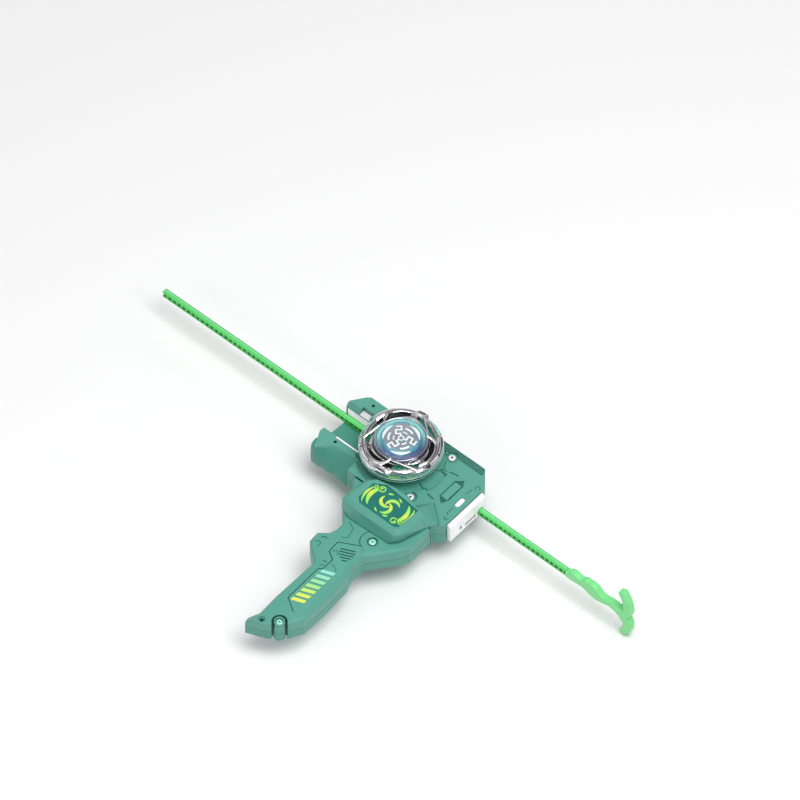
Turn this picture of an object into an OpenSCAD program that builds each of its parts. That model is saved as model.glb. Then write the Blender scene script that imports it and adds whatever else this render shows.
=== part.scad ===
// Handheld ripcord launcher with a spinning top seated on it.
// Origin: the launch axis on the flat underside. +X runs along the ripcord to its pull handle,
// the grip runs along -Y, and +Z is the axis that the top spins about. Lengths in millimetres.

/* [Launcher block] */
// Reach of the block from the launch axis towards the pull handle
body_right = 50.2; // [44:0.1:60]
// Reach of the block from the launch axis towards the ripcord's tail
body_left = 46.8; // [42:0.1:56]
// Reach of the block on the side away from the grip
body_far = 24.1; // [22:0.1:30]
// Reach of the block on the grip's side
body_near = 27; // [26:0.1:30]
// Height of the block
body_h = 15.5; // [14.5:0.1:18]
// Height of the parting line between the lower and the upper halves
split_z = 7.6; // [7:0.1:8.4]
// Gap that shows at the parting line
seam = 0.15; // [0.05:0.01:0.3]
// Wall of the moulded shells
shell_t = 1.8; // [1.4:0.1:2.4]
// Floor under the ripcord and the pinion
floor_t = 0.9; // [0.7:0.05:1.1]
// Radius of the shallow seat round the launch axis
dish_r = 25.5; // [22:0.1:27]
// Depth of the shallow seat
dish_depth = 1.2; // [0.6:0.1:1.6]
// Reach of the fan that widens the seat towards the end block
fan_r = 28.8; // [27.5:0.1:31]
// Near edge of the open trough, from the launch axis
trough_near = 13; // [12:0.1:15]
// Height of the trough's floor at its near edge
trough_rise = 6; // [4:0.1:7]
// Distance from the launch axis at which the trough ends
trough_stop = 15; // [14:0.1:18]

/* [White guide and end block] */
// Thickness of the white guide wall behind the ripcord
liner_t = 1.5; // [1:0.1:2]
// Height of the top of the guide wall above the underside
liner_top = 11.2; // [9:0.1:13]
// Thickness of the end block beyond the launcher block
cap_t = 2.6; // [2:0.1:4]
// Step from the launcher block's top down to the end block's top
cap_drop = 1.2; // [0.7:0.1:3]
// Near edge of the end block, from the launch axis
cap_near = 19; // [15:0.1:21]
// Far edge of the end block, from the launch axis
cap_far = 11; // [10:0.1:13]
// Length of the window on the end block's tongue
window_l = 7.3; // [5:0.1:9]
// Width of the window
window_w = 3; // [2:0.1:4]

/* [Ripcord] */
// Module of the ripcord's teeth
tooth_m = 1.1; // [1:0.05:1.2]
// Number of teeth on the pinion
pinion_teeth = 11; // [11:1:12]
// Pressure angle of the teeth
tooth_angle = 25; // [25:1:26]
// Thickness of the ripcord behind the pitch line
rack_back = 2.15; // [1.9:0.05:2.4]
// Height of the ripcord
rack_h = 4.2; // [3.4:0.1:4.5]
// Thickness of the webs that close the ripcord's teeth above and below
rack_web = 0.6; // [0.4:0.05:0.8]
// Clearance round the ripcord in its guides
rack_gap = 0.3; // [0.2:0.05:0.4]
// Length of the ripcord from the launch axis to its tail
rack_tail = 181.6; // [150:0.1:200]
// Distance from the launch axis to the pull handle's collar
rack_head = 117.5; // [110:0.1:140]
// Length of the pull handle
pull_l = 50; // [40:0.1:60]
// Half height of the pull handle's crossbar
pull_half = 17.6; // [14:0.1:22]
// Thickness of the pull handle
pull_t = 4.4; // [4.2:0.1:6]

/* [Spindle] */
// Radius of the spindle shaft
shaft_r = 3; // [2.6:0.05:3.4]
// Running clearance of the shaft in its bush, on the radius
run_gap = 0.05; // [0.02:0.01:0.1]
// Wall of the bush
bush_t = 1.6; // [1.2:0.1:2]
// Radius of the prong head's plate
prong_plate_r = 13.8; // [13.2:0.1:15]
// Height of the prongs above the plate
prong_h = 6.4; // [5:0.1:6.8]
// Thickness of a prong
prong_t = 1.5; // [1.2:0.1:2]
// Number of prongs, and of the lobes that they drive
prong_count = 3; // [3:1:3]
// Angle that one prong takes
prong_angle = 24; // [16:1:30]

/* [Top] */
// Radius of the metal ring
ring_r = 24.05; // [22:0.05:26]
// Radius of the clear ring under it
clear_r = 24.2; // [22:0.05:26]
// Height of the clear ring's underside above the seat
clear_rise = 9.1; // [8.8:0.1:10.7]
// Thickness of the clear ring
clear_t = 2.3; // [1.8:0.1:3]
// Height of the metal ring
ring_h = 4.8; // [4:0.1:6]
// Radius of the face chip with its bezel
chip_r = 15.6; // [14:0.1:16.5]
// Height of the face chip above the metal ring
chip_rise = 2.4; // [1.5:0.1:3]

/* [Grip] */
// Length of the grip from the launch axis to its tail
grip_l = 142.6; // [130:0.1:160]
// Distance of the grip's centre line from the launch axis
grip_x = 21.4; // [18:0.1:24]
// Half width of the grip at the hub
grip_half = 24.1; // [22:0.1:26]
// Chamfer along the grip's edges
grip_edge = 1.2; // [0.8:0.1:1.3]
// Height of the hub cover above the grip's top
hub_rise = 10.5; // [7:0.1:11.5]
// Thickness of the inlaid panel
inlay_t = 1.2; // [0.8:0.1:1.8]
// Width of the dark groove beside the panel
inlay_gap = 0.45; // [0.2:0.05:0.8]
// Radius of the lanyard hole
lanyard_r = 1.25; // [1:0.05:1.8]

/* [Screws] */
// Radius of a screw's shank
screw_r = 1.25; // [1:0.05:1.5]
// Radius of a screw's head
screw_head_r = 2.1; // [1.8:0.05:2.4]
// Height of a screw's head
screw_head_h = 1.1; // [0.8:0.05:1.5]

/* [Hidden] */
$fn = 64;
cut = 1;
fit = 0.1;

// Heights and places that follow from the driving dimensions
rack_z = floor_t + rack_gap;
rack_top = rack_z + rack_h;
tooth_pitch = PI * tooth_m;
pitch_r = tooth_m * pinion_teeth / 2;
tooth_add_share = 1 / 1.1;
tooth_add = tooth_m * tooth_add_share;
tooth_ded = tooth_m * 1.09;
tooth_fill_share = 0.47;
rack_y0 = pitch_r - tooth_add;
rack_y1 = pitch_r + rack_back;
liner_y = rack_y1 + rack_gap;
well_r = pitch_r + tooth_add + shell_t * 0.65;
upper_z = split_z + seam;
dish_z = body_h - dish_depth;
grip_h = body_h;
grip_root = body_near + seam;
hub_top = grip_h + hub_rise;
clear_z = dish_z + clear_rise;
cap_top = body_h - cap_drop;
cap_x = body_right + seam;
tunnel_top = rack_top + rack_gap;

// A point given in shares of the block's reach in each of the four directions
function block_spot(p) = [p[0] * (p[0] > 0 ? body_right : body_left),
    p[1] * (p[1] > 0 ? body_far : body_near)];
function block_spots(shares) = [for (p = shares) block_spot(p)];

// A point of the grip: shares of its half width from the centre line and of its length beyond
// the launcher block
function grip_spot(p) = [grip_x + p[0] * grip_half, -grip_root - p[1] * (grip_l - grip_root)];
function grip_spots(shares) = [for (p = shares) grip_spot(p)];

// Moves each corner of a counter-clockwise outline inwards by d, along the mitre of its sides
function side_of(a, b) = (b - a) / norm(b - a);
function corner_in(a, b, c, d) =
    let (u = side_of(a, b), v = side_of(b, c), n = [-u[1] - v[1], u[0] + v[0]])
    b + n * (2 * d / (n * n));
function inset(pts, d) = let (n = len(pts))
    [for (i = [0:n - 1]) corner_in(pts[(i + n - 1) % n], pts[i], pts[(i + 1) % n], d)];

// Triangles that fill a counter-clockwise outline, cut off one corner at a time. spots are the
// numbers of the corners that are left.
function turn_of(a, b, c) = (b[0] - a[0]) * (c[1] - a[1]) - (b[1] - a[1]) * (c[0] - a[0]);
function covers(a, b, c, p) = turn_of(a, b, p) >= 0 && turn_of(b, c, p) >= 0
    && turn_of(c, a, p) >= 0;
function near_three(spots, i) = let (n = len(spots))
    [spots[(i + n - 1) % n], spots[i], spots[(i + 1) % n]];
function is_ear(pts, spots, t) = turn_of(pts[t[0]], pts[t[1]], pts[t[2]]) > 0
    && len([for (k = spots) if (k != t[0] && k != t[1] && k != t[2]
        && covers(pts[t[0]], pts[t[1]], pts[t[2]], pts[k])) k]) == 0;
function clip_ears(pts, spots) = len(spots) == 3 ? [spots] :
    let (e = [for (i = [0:len(spots) - 1]) if (is_ear(pts, spots, near_three(spots, i))) i][0])
    concat([near_three(spots, e)],
        clip_ears(pts, [for (i = [0:len(spots) - 1]) if (i != e) spots[i]]));

// A closed solid through outlines of equal count, each [height, outline], lowest first
module loft(levels) {
    n = len(levels[0][1]);
    last = len(levels) - 1;
    points = [for (l = levels) for (p = l[1]) [p[0], p[1], l[0]]];
    sides = [for (k = [0:last - 1]) for (i = [0:n - 1])
        let (j = (i + 1) % n, a = k * n + i, b = k * n + j)
        each [[a, a + n, b], [b, a + n, b + n]]];
    all_spots = [for (i = [0:n - 1]) i];
    floor_faces = clip_ears(levels[0][1], all_spots);
    roof_faces = [for (t = clip_ears(levels[last][1], all_spots))
        [last * n + t[2], last * n + t[1], last * n + t[0]]];
    polyhedron(points, concat(floor_faces, sides, roof_faces), convexity = 6);
}

// A plate with chamfered lower and upper edges
module chamfered(pts, z0, z1, low, high) {
    foot = low > 0 ? [[z0, inset(pts, low)]] : [];
    head = high > 0 ? [[z1, inset(pts, high)]] : [];
    loft(concat(foot, [[z0 + low, pts], [z1 - high, pts]], head));
}

module slab(x0, x1, y0, y1, z0, z1) {
    translate([x0, y0, z0]) cube([x1 - x0, y1 - y0, z1 - z0]);
}

module post(at, r, z0, z1) {
    translate([at[0], at[1], z0]) cylinder(r = r, h = z1 - z0);
}

module ring(r0, r1, z0, z1) {
    rotate_extrude() translate([r0, z0]) square([r1 - r0, z1 - z0]);
}

module sector(r0, r1, z0, z1, middle, angle) {
    rotate([0, 0, middle - angle / 2]) rotate_extrude(angle = angle)
        translate([r0, z0]) square([r1 - r0, z1 - z0]);
}

module stadium(at, l, w, z0, z1) {
    for (s = [-1, 1]) post([at[0], at[1] + s * (l - w) / 2], w / 2, z0, z1);
    slab(at[0] - w / 2, at[0] + w / 2, at[1] - (l - w) / 2, at[1] + (l - w) / 2, z0, z1);
}

// A screw: domed pan head, shank and a hexagon socket, with its head's underside at z
module screw(at, z, reach) {
    socket_share = 0.36;
    difference() {
        union() {
            post(at, screw_head_r, z, z + screw_head_h * 0.7);
            translate([at[0], at[1], z + screw_head_h * 0.7])
                cylinder(r1 = screw_head_r, r2 = screw_head_r * 0.75, h = screw_head_h * 0.3);
            post(at, screw_r, z - reach, z);
        }
        translate([at[0], at[1], z + screw_head_h * 0.4])
            cylinder(r = screw_head_r * socket_share, h = cut, $fn = 6);
    }
}

// Outlines of the launcher block, in shares of its reach
block_plan_share = [[1, 0.57], [0.83, 1], [-0.25, 1], [-0.33, 0.84], [-0.84, 0.84],
    [-0.88, 0.78], [-1.025, 0.4], [-1.025, 0.3], [-1, 0.27], [-1, -0.48], [-0.36, -0.48], [-0.36, -1],
    [0.9, -1], [0.9, -0.91], [1, -0.81]];
finger_low_share = [[-0.3, -0.4], [-0.985, -0.4], [-0.988, -0.6], [-0.935, -0.8],
    [-0.905, -0.98], [-0.79, -1], [-0.72, -0.925], [-0.65, -0.98], [-0.58, -0.895],
    [-0.505, -0.96], [-0.39, -1], [-0.3, -0.98]];
finger_top_share = [[-0.3, -0.4], [-0.98, -0.4], [-0.99, -0.6], [-0.935, -0.8],
    [-0.915, -0.935], [-0.885, -1], [-0.855, -0.93], [-0.75, -0.72], [-0.59, -0.66],
    [-0.47, -0.637], [-0.37, -0.615], [-0.3, -0.61]];
screw_spot_share = [[0.445, 0.747], [0.445, -0.667]];
pin_spot_share = [[-0.743, 0.685], [-0.743, -0.611]];
screw_spots = block_spots(screw_spot_share);
pin_spots = block_spots(pin_spot_share);
boss_r = screw_head_r + shell_t * 0.9;

module block_solid() {
    low = block_spots(finger_low_share);
    top = block_spots(finger_top_share);
    linear_extrude_between(block_spots(block_plan_share), -cut, body_h + cut);
    loft([[-cut * 2, low], [0, low], [body_h, top], [body_h + cut * 2, top]]);
}

// The open trough: a floor that curves up from the ripcord to the near edge
module trough() {
    reach = trough_near + rack_y0 - rack_gap;
    climb = trough_rise - floor_t;
    bend = (reach * reach + climb * climb) / (2 * climb);
    start_y = rack_y0 - rack_gap;
    intersection() {
        slab(-body_left - cut * 2, -trough_stop, -trough_near, start_y, 0, body_h + cut);
        union() {
            translate([-body_left - cut * 2, start_y, floor_t + bend]) rotate([0, 90, 0])
                cylinder(r = bend, h = body_left - trough_stop + cut * 2, $fn = 96);
            slab(-body_left - cut * 2, -trough_stop, -trough_near, start_y,
                trough_rise, body_h + cut);
        }
    }
    slab(-body_left - fit, -trough_stop, liner_y - fit, liner_y + liner_t + fit,
        floor_t, liner_top);
    slab(-body_left - cut * 2, -trough_stop, start_y - fit, liner_y, floor_t, body_h + cut);
}

// The ripcord's tunnel and the guide wall's slot, from the trough to the end block
module tunnel() {
    slab(-trough_stop - cut, body_right + cut, rack_y0 - rack_gap, liner_y + liner_t + fit,
        floor_t, tunnel_top);
    post([0, 0], well_r, floor_t, split_z + cut);
}

// Hollows that lighten the lower half, left clear of the bosses and of the tunnel
module lower_hollows() {
    wall_y = liner_y + liner_t + shell_t;
    difference() {
        slab(-body_left * 0.8, body_right * 0.8, wall_y, body_far * 0.84 - shell_t,
            shell_t, split_z + cut);
        for (at = concat(screw_spots, pin_spots)) post(at, boss_r, 0, body_h);
    }
    difference() {
        slab(well_r + shell_t, body_right * 0.9 - shell_t, -body_near + shell_t,
            rack_y0 - rack_gap - shell_t, shell_t, split_z + cut);
        for (at = screw_spots) post(at, boss_r, 0, body_h);
    }
}

module lower_housing() {
    color("#469685") difference() {
        intersection() {
            block_solid();
            slab(-body_left - cut * 3, body_right + cut, -body_near - cut, body_far + cut,
                0, split_z);
        }
        trough();
        tunnel();
        lower_hollows();
        for (at = screw_spots) post(at, screw_r, shell_t, split_z + cut);
        cap_tongue(fit);
        slab(-trough_stop - cut, body_right + cut, liner_y, liner_y + liner_t + fit,
            floor_t, split_z + cut);
    }
}

// Hollows of the upper half, under its roof
module upper_hollows() {
    roof = dish_z - shell_t;
    wall_y = liner_y + liner_t + shell_t;
    difference() {
        slab(-body_left * 0.8, body_right * 0.8, wall_y, body_far * 0.84 - shell_t,
            split_z, roof);
        for (at = concat(screw_spots, pin_spots)) post(at, boss_r, 0, body_h);
    }
    difference() {
        slab(bush_r + shell_t * 2, body_right * 0.86 - shell_t, -body_near + shell_t,
            rack_y0 - rack_gap - shell_t, split_z, roof);
        for (at = screw_spots) post(at, boss_r, 0, body_h);
    }
}

// The fan of the seat: its two sides step in and out like a saw
fan_side_share = [[0, 0], [0.66, -0.19], [0.7, -0.24], [0.74, -0.19], [0.79, -0.26],
    [0.83, -0.21], [0.88, -0.28], [0.92, -0.23], [0.98, -0.29]];
module fan() {
    down = [for (p = fan_side_share) [p[0] * fan_r, p[1] * fan_r]];
    up = [for (i = [len(down) - 1:-1:1]) [down[i][0], -down[i][1]]];
    intersection() {
        post([0, 0], fan_r, dish_z, body_h + cut);
        translate([0, 0, dish_z]) linear_extrude(dish_depth + cut)
            polygon(concat(down, up));
    }
}

// Grooves along the far edge
groove_w = 0.5;
groove_d = 0.7;
groove_count = 4;
groove_step = 1.15;
module edge_grooves() {
    for (k = [0:groove_count - 1])
        slab(-body_left * 0.25, body_right * 0.86,
            body_far - groove_step * (k + 1), body_far - groove_step * (k + 1) + groove_w,
            body_h - groove_d, body_h + cut);
}

// The plate that carries the label, with a dark wedge at each end
label_l = 13;
label_w = 5;
label_d = 0.5;
label_x = body_right * 0.743;
wing_share = [[-0.5, 0], [0.5, 0.1], [0.2, 0.75], [-0.35, 0.3]];
module label_seat() {
    slab(label_x - label_w / 2 - fit, label_x + label_w / 2 + fit,
        -label_l / 2 - fit, label_l / 2 + fit, body_h - label_d, body_h + cut);
    for (s = [-1, 1]) translate([label_x, s * label_l / 2, body_h - label_d])
        linear_extrude(label_d + cut)
            polygon([for (p = wing_share) [p[0] * label_w, s * p[1] * label_w]]);
}

module label_plate() {
    edge = label_d;
    plan = [[1, 1], [-1, 1], [-1, -1], [1, -1]];
    color("#62b3a0") chamfered([for (p = plan) [label_x + p[0] * label_w / 2,
        p[1] * label_l / 2]], body_h - label_d, body_h + label_d, 0, edge);
}

window_at_share = [0.918, -0.104];
window_at = block_spot(window_at_share);
window_z = body_h - label_d;
tongue_x = body_right * 0.86;

// The end block's tongue inside the launcher block, grown by a clearance
module cap_tongue(gap) {
    slab(tongue_x - gap, body_right + cut, -cap_near + shell_t * 2 - gap,
        rack_y0 - rack_gap - shell_t + gap, split_z - shell_t - gap,
        body_h - shell_t * 1.5 + gap);
}

bush_r = shaft_r + run_gap + bush_t;
bush_flange_t = 1;
bush_z0 = tunnel_top + rack_gap;
bush_z1 = dish_z;

module upper_housing() {
    flap_left_share = 0.77;
    flap_d = body_h - liner_top;
    notch_share = [0.82, 0.65];
    color("#57a794") difference() {
        intersection() {
            block_solid();
            slab(-body_left - cut * 3, body_right + cut, -body_near - cut, body_far + cut,
                upper_z, body_h);
        }
        trough();
        upper_hollows();
        post([0, 0], dish_r, dish_z, body_h + cut);
        fan();
        edge_grooves();
        label_seat();
        cap_tongue(fit);
        edge_lip(fit);
        stadium(window_at, window_l + fit * 2, window_w + fit * 2, split_z, body_h + cut);
        post([0, 0], bush_r, 0, body_h);
        post([0, 0], bush_r + shell_t, dish_z - bush_flange_t, body_h);
        for (at = screw_spots) {
            post(at, screw_r + fit, 0, body_h + cut);
            post(at, screw_head_r + shell_t * 0.9, body_h - screw_head_h * 0.9, body_h + cut);
        }
        for (at = pin_spots) post(at, screw_r * 0.75, dish_z - shell_t, body_h + cut);
        translate([-body_left * flap_left_share, liner_y + liner_t * 1.4, body_h])
            rotate([atan(flap_d / liner_t / 1.4) - 90, 0, 0])
                slab(-body_left, 0, -flap_d * 2, 0, -flap_d * 2, flap_d);
        slab(-body_left * notch_share[0], -body_left * notch_share[1],
            liner_y, liner_y + liner_t * 2.6, body_h - flap_d * 0.8, body_h + cut);
        slab(-trough_stop - cut, body_right, liner_y - fit, liner_y + liner_t + fit,
            split_z, liner_top);
    }
}

// White guide: a wall behind the ripcord, with a lip along the trough's near edge
lip_w = 0.9;
lip_h = 2.4;
lip_share = [-0.78, -0.44];
module edge_lip(gap) {
    slab(lip_share[0] * body_left - gap, lip_share[1] * body_left + gap,
        -trough_near - lip_w - gap, -trough_near, body_h - lip_h - gap, body_h - fit + gap * 3);
}

module rack_liner() {
    color("white") {
        edge_lip(0);
        slab(-body_left, -trough_stop * 0.7, liner_y, liner_y + liner_t, floor_t, liner_top);
        slab(-trough_stop * 0.7, body_right, liner_y, liner_y + liner_t, floor_t, split_z);
    }
}

module end_cap() {
    edge = cap_t * 0.5;
    profile = [[0, floor_t], [cap_t, floor_t], [cap_t, cap_top - edge], [cap_t - edge, cap_top],
        [0, cap_top]];
    slot_z0 = rack_z * 2;
    slot_z1 = rack_z * 4.2;
    color("white") difference() {
        union() {
            translate([cap_x, cap_far, 0]) rotate([90, 0, 0])
                linear_extrude(cap_near + cap_far) polygon(profile);
            slab(tongue_x, cap_x + fit, -cap_near + shell_t * 2, rack_y0 - rack_gap - shell_t,
                split_z - shell_t, body_h - shell_t * 1.5);
            stadium(window_at, window_l, window_w, split_z, window_z);
        }
        slab(cap_x - cut, cap_x + cap_t + cut, rack_y0 - rack_gap, rack_y1 + rack_gap,
            0, tunnel_top);
        slab(cap_x + cap_t * 0.5, cap_x + cap_t + cut, -cap_near * 0.33, cap_near * 0.14,
            slot_z0, slot_z1);
        slab(cap_x + cap_t * 0.5, cap_x + cap_t + cut, -cap_near * 0.58, -cap_near * 0.48,
            slot_z1 * 0.7, slot_z1 * 1.3);
    }
}

module spindle_bush() {
    color("#e8e8e0") {
        ring(shaft_r + run_gap, bush_r, bush_z0, bush_z1 - bush_flange_t);
        ring(shaft_r + run_gap, bush_r + shell_t - fit, bush_z1 - bush_flange_t, bush_z1);
    }
}

module thrust_washer() {
    color("silver") ring(shaft_r * 0.55, shaft_r * 1.5, floor_t, rack_z - fit);
}

screw_reach = body_h - screw_head_h - shell_t * 1.6;
module housing_screws() {
    color("#f2f2f2") for (at = screw_spots)
        screw(at, body_h - screw_head_h * 0.9, screw_reach);
}

// Outlines of the grip: half widths from the centre line, lengths from the launch axis
grip_plan_share = [[0.98, 0], [-1.36, 0], [-1.3, 0.0261], [-1.0, 0.1107],
    [-0.967, 0.186], [-0.66, 0.2589], [-0.668, 0.2997], [-0.74, 0.3404], [-0.95, 0.375],
    [-0.93, 0.438], [-0.45, 0.5269], [-0.477, 0.8024], [-0.45, 0.9321], [-0.65, 0.9691],
    [-0.61, 1], [-0.1, 0.958], [0.29, 0.8827],
    [0.46, 0.8172], [0.48, 0.6789], [0.43, 0.4923], [0.31, 0.4232], [0.31, 0.3454],
    [0.82, 0.2157], [0.98, 0.1576]];
screw_grip_share = [[0.216, 0.2478], [0.062, 0.9061]];
grip_screw_spots = grip_spots(screw_grip_share);
tail_at = grip_screw_spots[1];
neck_at = grip_screw_spots[0];
tail_angle = 43;
tail_post_r = 3.2;
tail_notch_w = 1.3;
tail_notch_l = 9;
lanyard_share = [-0.29, 0.9549];
lanyard_at = grip_spot(lanyard_share);
grip_boss_r = screw_r + shell_t;

tail_slope = 42;
tail_slope_share = [-0.42, 0.9259];
module grip_solid() {
    slope_at = grip_spot(tail_slope_share);
    difference() {
        chamfered(grip_spots(grip_plan_share), 0, grip_h, grip_edge, grip_edge);
        translate([slope_at[0], slope_at[1], grip_h]) rotate([0, -tail_slope, 0])
            slab(-grip_half, 0, -grip_l * 0.1, grip_edge, 0, grip_h);
    }
    post(tail_at, tail_post_r, grip_edge * 0.8, grip_h - grip_edge * 0.6);
}

module grip_hollow(z0, z1) {
    difference() {
        linear_extrude_between(inset(grip_spots(grip_core_share), shell_t), z0, z1);
        for (at = grip_screw_spots) post(at, grip_boss_r, 0, grip_h);
        post(lanyard_at, lanyard_r + shell_t, 0, grip_h);
    }
}

grip_core_share = [[0.8, 0.0242], [-0.9, 0.0242], [-0.9, 0.1848], [-0.55, 0.2589], [-0.55, 0.5059],
    [-0.4, 0.5306], [-0.4, 0.8271], [0.4, 0.8024], [0.4, 0.5059], [0.27, 0.4318], [0.27, 0.333],
    [0.7, 0.2095], [0.8, 0.1477]];
module linear_extrude_between(pts, z0, z1) {
    translate([0, 0, z0]) linear_extrude(z1 - z0) polygon(pts);
}

module tail_notches() {
    for (s = [-1, 1]) translate([tail_at[0], tail_at[1], 0]) rotate([0, 0, tail_angle])
        slab(s * (tail_post_r + tail_notch_w / 2) - tail_notch_w / 2,
            s * (tail_post_r + tail_notch_w / 2) + tail_notch_w / 2,
            -tail_notch_l, tail_post_r * 0.3, -cut, grip_h + cut);
    difference() {
        post(tail_at, tail_post_r + tail_notch_w, grip_h * 0.72, grip_h + cut);
        post(tail_at, tail_post_r, 0, grip_h + cut);
    }
}

module grip_lower() {
    color("#469685") difference() {
        intersection() {
            grip_solid();
            slab(-grip_l, grip_l, -grip_l - cut, 0, -cut, split_z);
        }
        grip_hollow(shell_t, split_z + cut);
        tail_notches();
        for (at = grip_screw_spots) post(at, screw_r, shell_t, split_z + cut);
        post(lanyard_at, lanyard_r, -cut, split_z + cut);
    }
}

// The inlaid panel: a stepped side with a groove beside it, and a straight side
inlay_share = [[0.112, 0.3034], [-0.386, 0.3602], [-0.365, 0.4256], [-0.145, 0.4553],
    [-0.145, 0.5331], [-0.232, 0.5405], [-0.224, 0.769], [0.124, 0.816], [0.3, 0.79],
    [0.33, 0.5059], [0.22, 0.4318], [0.22, 0.3207]];
grille_share = [0.016, 0.3972];
grille_at = grip_spot(grille_share);
grille_count = 5;
grille_step = 1.9;
grille_slot_w = 0.8;
grille_l_share = [0.36, 0.7, 0.92, 1, 0.92];
grille_l = 9.3;
grille_angle = 25;

module inlay_cut(d) {
    linear_extrude_between(inset(grip_spots(inlay_share), -d), grip_h - inlay_t, grip_h + cut);
}

neck_plate_r = 7;
module grip_upper() {
    color("#62b3a0") difference() {
        intersection() {
            grip_solid();
            slab(-grip_l, grip_l, -grip_l - cut, 0, upper_z, grip_h + cut);
        }
        grip_hollow(split_z, grip_h - inlay_t - shell_t);
        inlay_cut(inlay_gap);
        tail_notches();
        for (at = grip_screw_spots) post(at, screw_r + fit, 0, grip_h + cut);
        for (p = hub_screw_share) post(grip_spot(p), screw_r + fit, 0, grip_h + cut);
        post(neck_at, screw_head_r + shell_t * 0.6, grip_h - screw_head_h, grip_h + cut);
        post(tail_at, screw_head_r + fit, grip_h - grip_edge * 0.6 - screw_head_h, grip_h + cut);
        translate([neck_at[0], neck_at[1], 0]) sector(neck_plate_r, neck_plate_r + inlay_gap,
            grip_h - inlay_t * 0.5, grip_h + cut, 190, 150);
        post(lanyard_at, lanyard_r, 0, grip_h + cut);
        post(lanyard_at, lanyard_r + shell_t * 0.45, grip_h - inlay_t * 0.5, grip_h + cut);
    }
}

module grip_inlay() {
    color("#5fb09d") difference() {
        linear_extrude_between(grip_spots(inlay_share), grip_h - inlay_t, grip_h);
        for (k = [0:grille_count - 1])
            translate([grille_at[0], grille_at[1], 0]) rotate([0, 0, grille_angle])
                slab(-grille_l_share[k] * grille_l / 2, grille_l_share[k] * grille_l / 2,
                    (k - 2) * grille_step, (k - 2) * grille_step + grille_slot_w,
                    grip_h - inlay_t * 0.6, grip_h + cut);
        stripes(fit, cut);
    }
}

// Slanted bars on the panel, a plain pattern
stripe_at_share = [-0.15, 0.7727];
stripe_l = 7.6;
stripe_w = 2.5;
stripe_t = 0.4;
stripe_lean = 2.8;
stripe_step = 4.2;
stripe_count = 7;
module stripes(grow, deep) {
    at = grip_spot(stripe_at_share);
    for (k = [0:stripe_count - 1]) let (y = at[1] + k * stripe_step)
        linear_extrude_between(inset([[at[0], y], [at[0] + stripe_l, y + stripe_lean],
            [at[0] + stripe_l, y + stripe_lean + stripe_w], [at[0], y + stripe_w]],
            -grow), grip_h - stripe_t, grip_h + deep);
}

module grip_stripes() {
    color("#d8f37a") stripes(0, stripe_t * 0.3);
}

module grip_screws() {
    color("#a6e8cf") {
        screw(neck_at, grip_h - screw_head_h, grip_h - screw_head_h - shell_t * 1.5);
        screw(tail_at, grip_h - grip_edge * 0.6 - screw_head_h,
            grip_h - grip_edge * 0.6 - screw_head_h - shell_t * 1.5);
    }
}

// The hub cover: a raised block with leaning sides and a broad bevel round its panel
hub_low_share = [[1.087, -0.0443], [0.585, -0.1271], [0.25, -0.04], [-0.2, -0.0338],
    [-0.74, -0.0153], [-0.91, 0.0205], [-1.004, 0.1199], [-0.983, 0.1891], [-0.64, 0.2163],
    [0.535, 0.2064], [0.697, 0.1675], [0.917, 0.0162]];
hub_share = [[0.855, 0.0038], [0.515, -0.0073], [0.19, -0.0338], [-0.2, -0.0338], [-0.72, -0.0141],
    [-0.888, 0.0205], [-0.988, 0.1199], [-0.967, 0.1848], [-0.55, 0.1947], [0.651, 0.1947],
    [0.755, 0.1687], [0.85, 0.0421]];
hub_top_share = [[0.78, 0.0069], [0.505, -0.003], [0.18, -0.0221], [-0.19, -0.0221],
    [-0.66, -0.0017], [-0.788, 0.0279], [-0.872, 0.1169], [-0.855, 0.1675], [-0.53, 0.1768],
    [0.6, 0.1768], [0.672, 0.1589], [0.765, 0.0427]];
hub_bevel = 2.2;
hub_z0 = grip_h + seam;
panel_share = [[0.645, 0.0125], [-0.38, -0.0079], [-0.66, 0.0279], [-0.66, 0.1354], [-0.55, 0.1582],
    [0.53, 0.1607], [0.6, 0.1477]];
panel_t = 1;
panel_drop = 0.5;
hub_screw_share = [[-0.4, 0.0736], [0.4, 0.0736]];

module hub_cover() {
    plan = grip_spots(hub_share);
    color("#57a794") difference() {
        loft([[hub_z0, grip_spots(hub_low_share)], [hub_top - hub_bevel, plan],
            [hub_top, grip_spots(hub_top_share)]]);
        linear_extrude_between(inset(grip_spots(panel_share), -fit),
            hub_top - panel_t - panel_drop, hub_top + cut);
        difference() {
            linear_extrude_between(inset(plan, shell_t), hub_z0 - cut,
                hub_top - panel_t - panel_drop - shell_t);
            for (p = hub_screw_share) post(grip_spot(p), grip_boss_r, 0, hub_top);
        }
        for (p = hub_screw_share)
            post(grip_spot(p), screw_r, 0, hub_top - panel_t - panel_drop - shell_t);
    }
}

module badge_plate() {
    color("#10796e") linear_extrude_between(grip_spots(panel_share),
        hub_top - panel_t - panel_drop, hub_top - panel_drop);
}

// A plain figure of three nested arcs and two dots
relief_share = [0.02, 0.0736];
relief_at = grip_spot(relief_share);
relief_r = [3, 5.4, 7.8];
relief_angle = 230;
relief_w = 1.2;
relief_t = 0.3;
module badge_relief() {
    color("#bdf26a") translate([relief_at[0], relief_at[1], 0]) {
        for (k = [0:len(relief_r) - 1])
            sector(relief_r[k], relief_r[k] + relief_w, hub_top - panel_drop,
                hub_top - panel_drop + relief_t, 40 + k * 360 / len(relief_r), relief_angle);
        post([0, 0], relief_w, hub_top - panel_drop, hub_top - panel_drop + relief_t);
    }
}

module hub_screws() {
    for (p = hub_screw_share) color("silver") translate([0, 0, grip_h - inlay_t - shell_t])
        mirror([0, 0, 1]) screw(grip_spot(p), 0, hub_top - grip_h - shell_t);
}

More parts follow.
